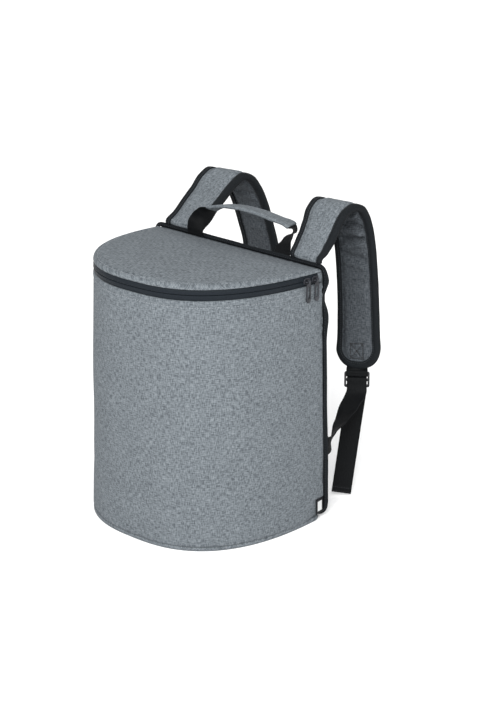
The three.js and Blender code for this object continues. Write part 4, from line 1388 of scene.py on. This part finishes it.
# Columns: span share, lean share, rise share, step share, turn in degrees
handle_route = [
    (-0.92, 0.00, 0.00, -1, 0), (-0.92, 0.00, 0.10, -1, 4), (-0.90, 0.12, 0.26, -1, 20),
    (-0.83, 0.35, 0.46, -0.6, 50), (-0.72, 0.55, 0.66, 0, 80), (-0.50, 0.70, 0.79, 0, 90),
    (-0.15, 0.80, 0.86, 0, 90), (0.30, 0.90, 0.84, 0, 90), (0.62, 1.00, 0.76, 0, 90),
    (0.86, 1.15, 0.68, 0, 95), (0.95, 1.10, 0.54, 0.4, 115), (0.91, 0.54, 0.30, 0.8, 148),
    (0.91, 0.10, 0.09, 1, 174), (0.92, 0.00, 0.00, 1, 180),
]


def handle_band():
    stations = []
    for span, lean, rise, step, turn in handle_route:
        angle = math.radians(turn)
        tilt = math.sin(math.radians(handle_tilt)) * math.sin(angle)
        back = to_middle + seam_middle + handle_lean * lean + handle_step * step
        across = unit(np.array([math.cos(angle), math.sin(angle), tilt]))
        stations.append(((handle_span * span, back, seam_top + gap + handle_rise * rise), across))
    return Band(stations)


handle = handle_band()
handle_runs = np.linspace(-handle_sewn, handle.length + handle_sewn, 250)
handle_web = loft("handle_web", [handle.ring(run, web_section(web_width / 2, web_thick))
                                 for run in handle_runs], webbing)


def sleeve_section(run):
    half = web_width / 2 + gap + sleeve_thick
    high = web_thick / 2 + gap + sleeve_thick
    swell = 0.0005 * wobble(run * 60, 2.0) + 0.0003
    upper = []
    for s in np.linspace(-1, 1, 17):
        edge = math.sqrt(max(0.0, 1 - max(0.0, (abs(s) - 0.86) / 0.14) ** 2))
        groove = -0.0004 * bell(abs(s), 0.80, 0.05)
        soft = swell * (1 - s * s) + 0.0002 * wobble(run * 150, s * 3)
        upper.append((half * s, high * (0.35 + 0.65 * edge) + groove + soft))
    return [(a, -r) for a, r in upper] + upper[::-1]


grip_runs = np.linspace(handle.length / 2 - sleeve_half, handle.length / 2 + sleeve_half, 130)
handle_sleeve = loft("handle_sleeve", [handle.ring(run, sleeve_section(run)) for run in grip_runs],
                     body_cloth)
edge_line, end_line = 0.80 * (web_width / 2 + 0.0013), 0.011
sleeve_lines = []
for hand in (-1, 1):
    for face in (-1, 1):
        sleeve_lines.append([handle.point(run, hand * edge_line, face * 0.0019)
                             for run in grip_runs[2:-2]])
for run in (grip_runs[3], grip_runs[-4]):
    for face in (-1, 1):
        sleeve_lines.append([handle.point(run, across, face * 0.0022)
                             for across in np.linspace(-end_line, end_line, 10)])
sleeve_stitches = stitches("sleeve_stitches", sleeve_lines, grey_thread,
                           length=0.0022, step=0.003, thick=0.0005)

# %% [markdown]
# ## Small hard parts and the label
#
# The solids of the buckles, sliders and pulls already have the right shape, but every edge is
# sharp. Moulded and cast parts never have sharp edges, so a merged copy of each gets a bevel that
# catches the light. The label is a folded woven tab: a dark rim round a bare pale field.

# %% Softened copies of the hard solids


def softened(node, name, material, width):
    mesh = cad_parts[node].data.copy()
    mesh.name = name
    shell = bmesh.new()
    shell.from_mesh(mesh)
    bmesh.ops.remove_doubles(shell, verts=shell.verts[:], dist=1e-6)
    bmesh.ops.dissolve_limit(shell, angle_limit=math.radians(2), verts=shell.verts[:],
                             edges=shell.edges[:])
    shell.to_mesh(mesh)
    shell.free()
    mesh.materials.clear()
    mesh.materials.append(material)
    piece = add_object(name, mesh)
    bevel = piece.modifiers.new("soft edges", "BEVEL")
    bevel.width = width
    bevel.segments = 2
    bevel.limit_method = "ANGLE"
    bevel.angle_limit = math.radians(35)
    bevel.harden_normals = True
    mesh.shade_smooth()
    return piece


# Columns: solid, name of the soft copy, finish, width of the bevel
hard_rows = [(f"buckle_{side}", f"slide_buckle_{side}", black_plastic, 0.0006) for side in sides]
for number in (1, 2):
    hard_rows += [(f"zip_slider_{number}", f"slider_{number}", gunmetal, 0.00028),
                  (f"zip_pull_{number}", f"pull_{number}", gunmetal, 0.00025)]
hard_parts = {row[0]: softened(*row) for row in hard_rows}

# %% Label
label_width, label_height, label_thick, label_level = 0.012, 0.020, 0.0008, 0.020
label_columns, label_rows = 16, 24


def label_rings():
    run_middle = label_width / 2 + gap * 2
    levels = np.linspace(label_level - label_height / 2, label_level + label_height / 2, label_rows)
    rings = []
    for run in np.linspace(run_middle - label_width / 2, run_middle + label_width / 2, label_columns):
        lift = 0.0004 + 0.0010 * ((run - run_middle) / label_width + 0.5)

        def face(level, thick):
            return wall_point(run, level, lift + gap + thick + corner_pull(run, level))

        ring = [face(level, label_thick + 0.0002) for level in levels]
        rings.append(ring + [face(level, 0.0) for level in levels[::-1]])
    return rings


label_tab = loft("label_tab", label_rings(), label_rim)
label_tab.data.materials.append(label_weave)
for face in label_tab.data.polygons:
    row, place = divmod(face.index, 2 * label_rows)
    if 3 <= row <= 11 and 4 <= place <= 18:
        face.material_index = 1

# %% [markdown]
# ## What each piece rides on
#
# Everything sewn together is one body. Only the two zip pulls swing on their sliders, so each is
# a body of its own.

# %% Bodies, and the solids that the pieces replace
# Columns: piece, the solid that it replaces, slot
worn = [
    (front_wall, "front_panel", "body_cloth"), (base_sheet, "base_panel", "body_cloth"),
    (lid, "lid_panel", "body_cloth"), (back_pad, "back_panel", "body_cloth"),
    (bound_seam, "back_binding", "binding_tape"), (zip_tape_upper, "zip_tape_lid", "zip_tape"),
    (zip_tape_lower, "zip_tape_body", "zip_tape"), (zip_teeth, "zip_coil", "zip_coil"),
    (zip_end_right, "zip_end_panel_right", "body_cloth"),
    (zip_end_left, "zip_end_panel_left", "body_cloth"),
    (handle_web, "handle_web", "webbing"), (handle_sleeve, "handle_sleeve", "body_cloth"),
    (label_tab, "side_label", "label_patch"), (body_stitches, None, "body_cloth"),
    (seam_stitches, None, "binding_tape"), (web_stitches, None, "webbing"),
    (sleeve_stitches, None, "body_cloth"),
]
for side in sides:
    worn += [
        (strap_pads[side], f"shoulder_strap_{side}", "strap_cloth"),
        (strap_edges[side], f"strap_binding_{side}", "binding_tape"),
        (web_loops[side], f"buckle_loop_{side}", "webbing"),
        (adjusters[side], f"adjuster_web_{side}", "webbing"),
        (strap_stitches[side], None, "binding_tape"), (box_stitches[side], None, "strap_cloth"),
    ]
for piece, node, slot in worn:
    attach(piece, "bag")
    if node:
        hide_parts(node)
for node, piece in hard_parts.items():
    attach(piece, {"zip_pull_1": "pull_1", "zip_pull_2": "pull_2"}.get(node, "bag"))
    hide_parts(node)
print("pieces on the bag:", len(worn) + len(hard_parts))
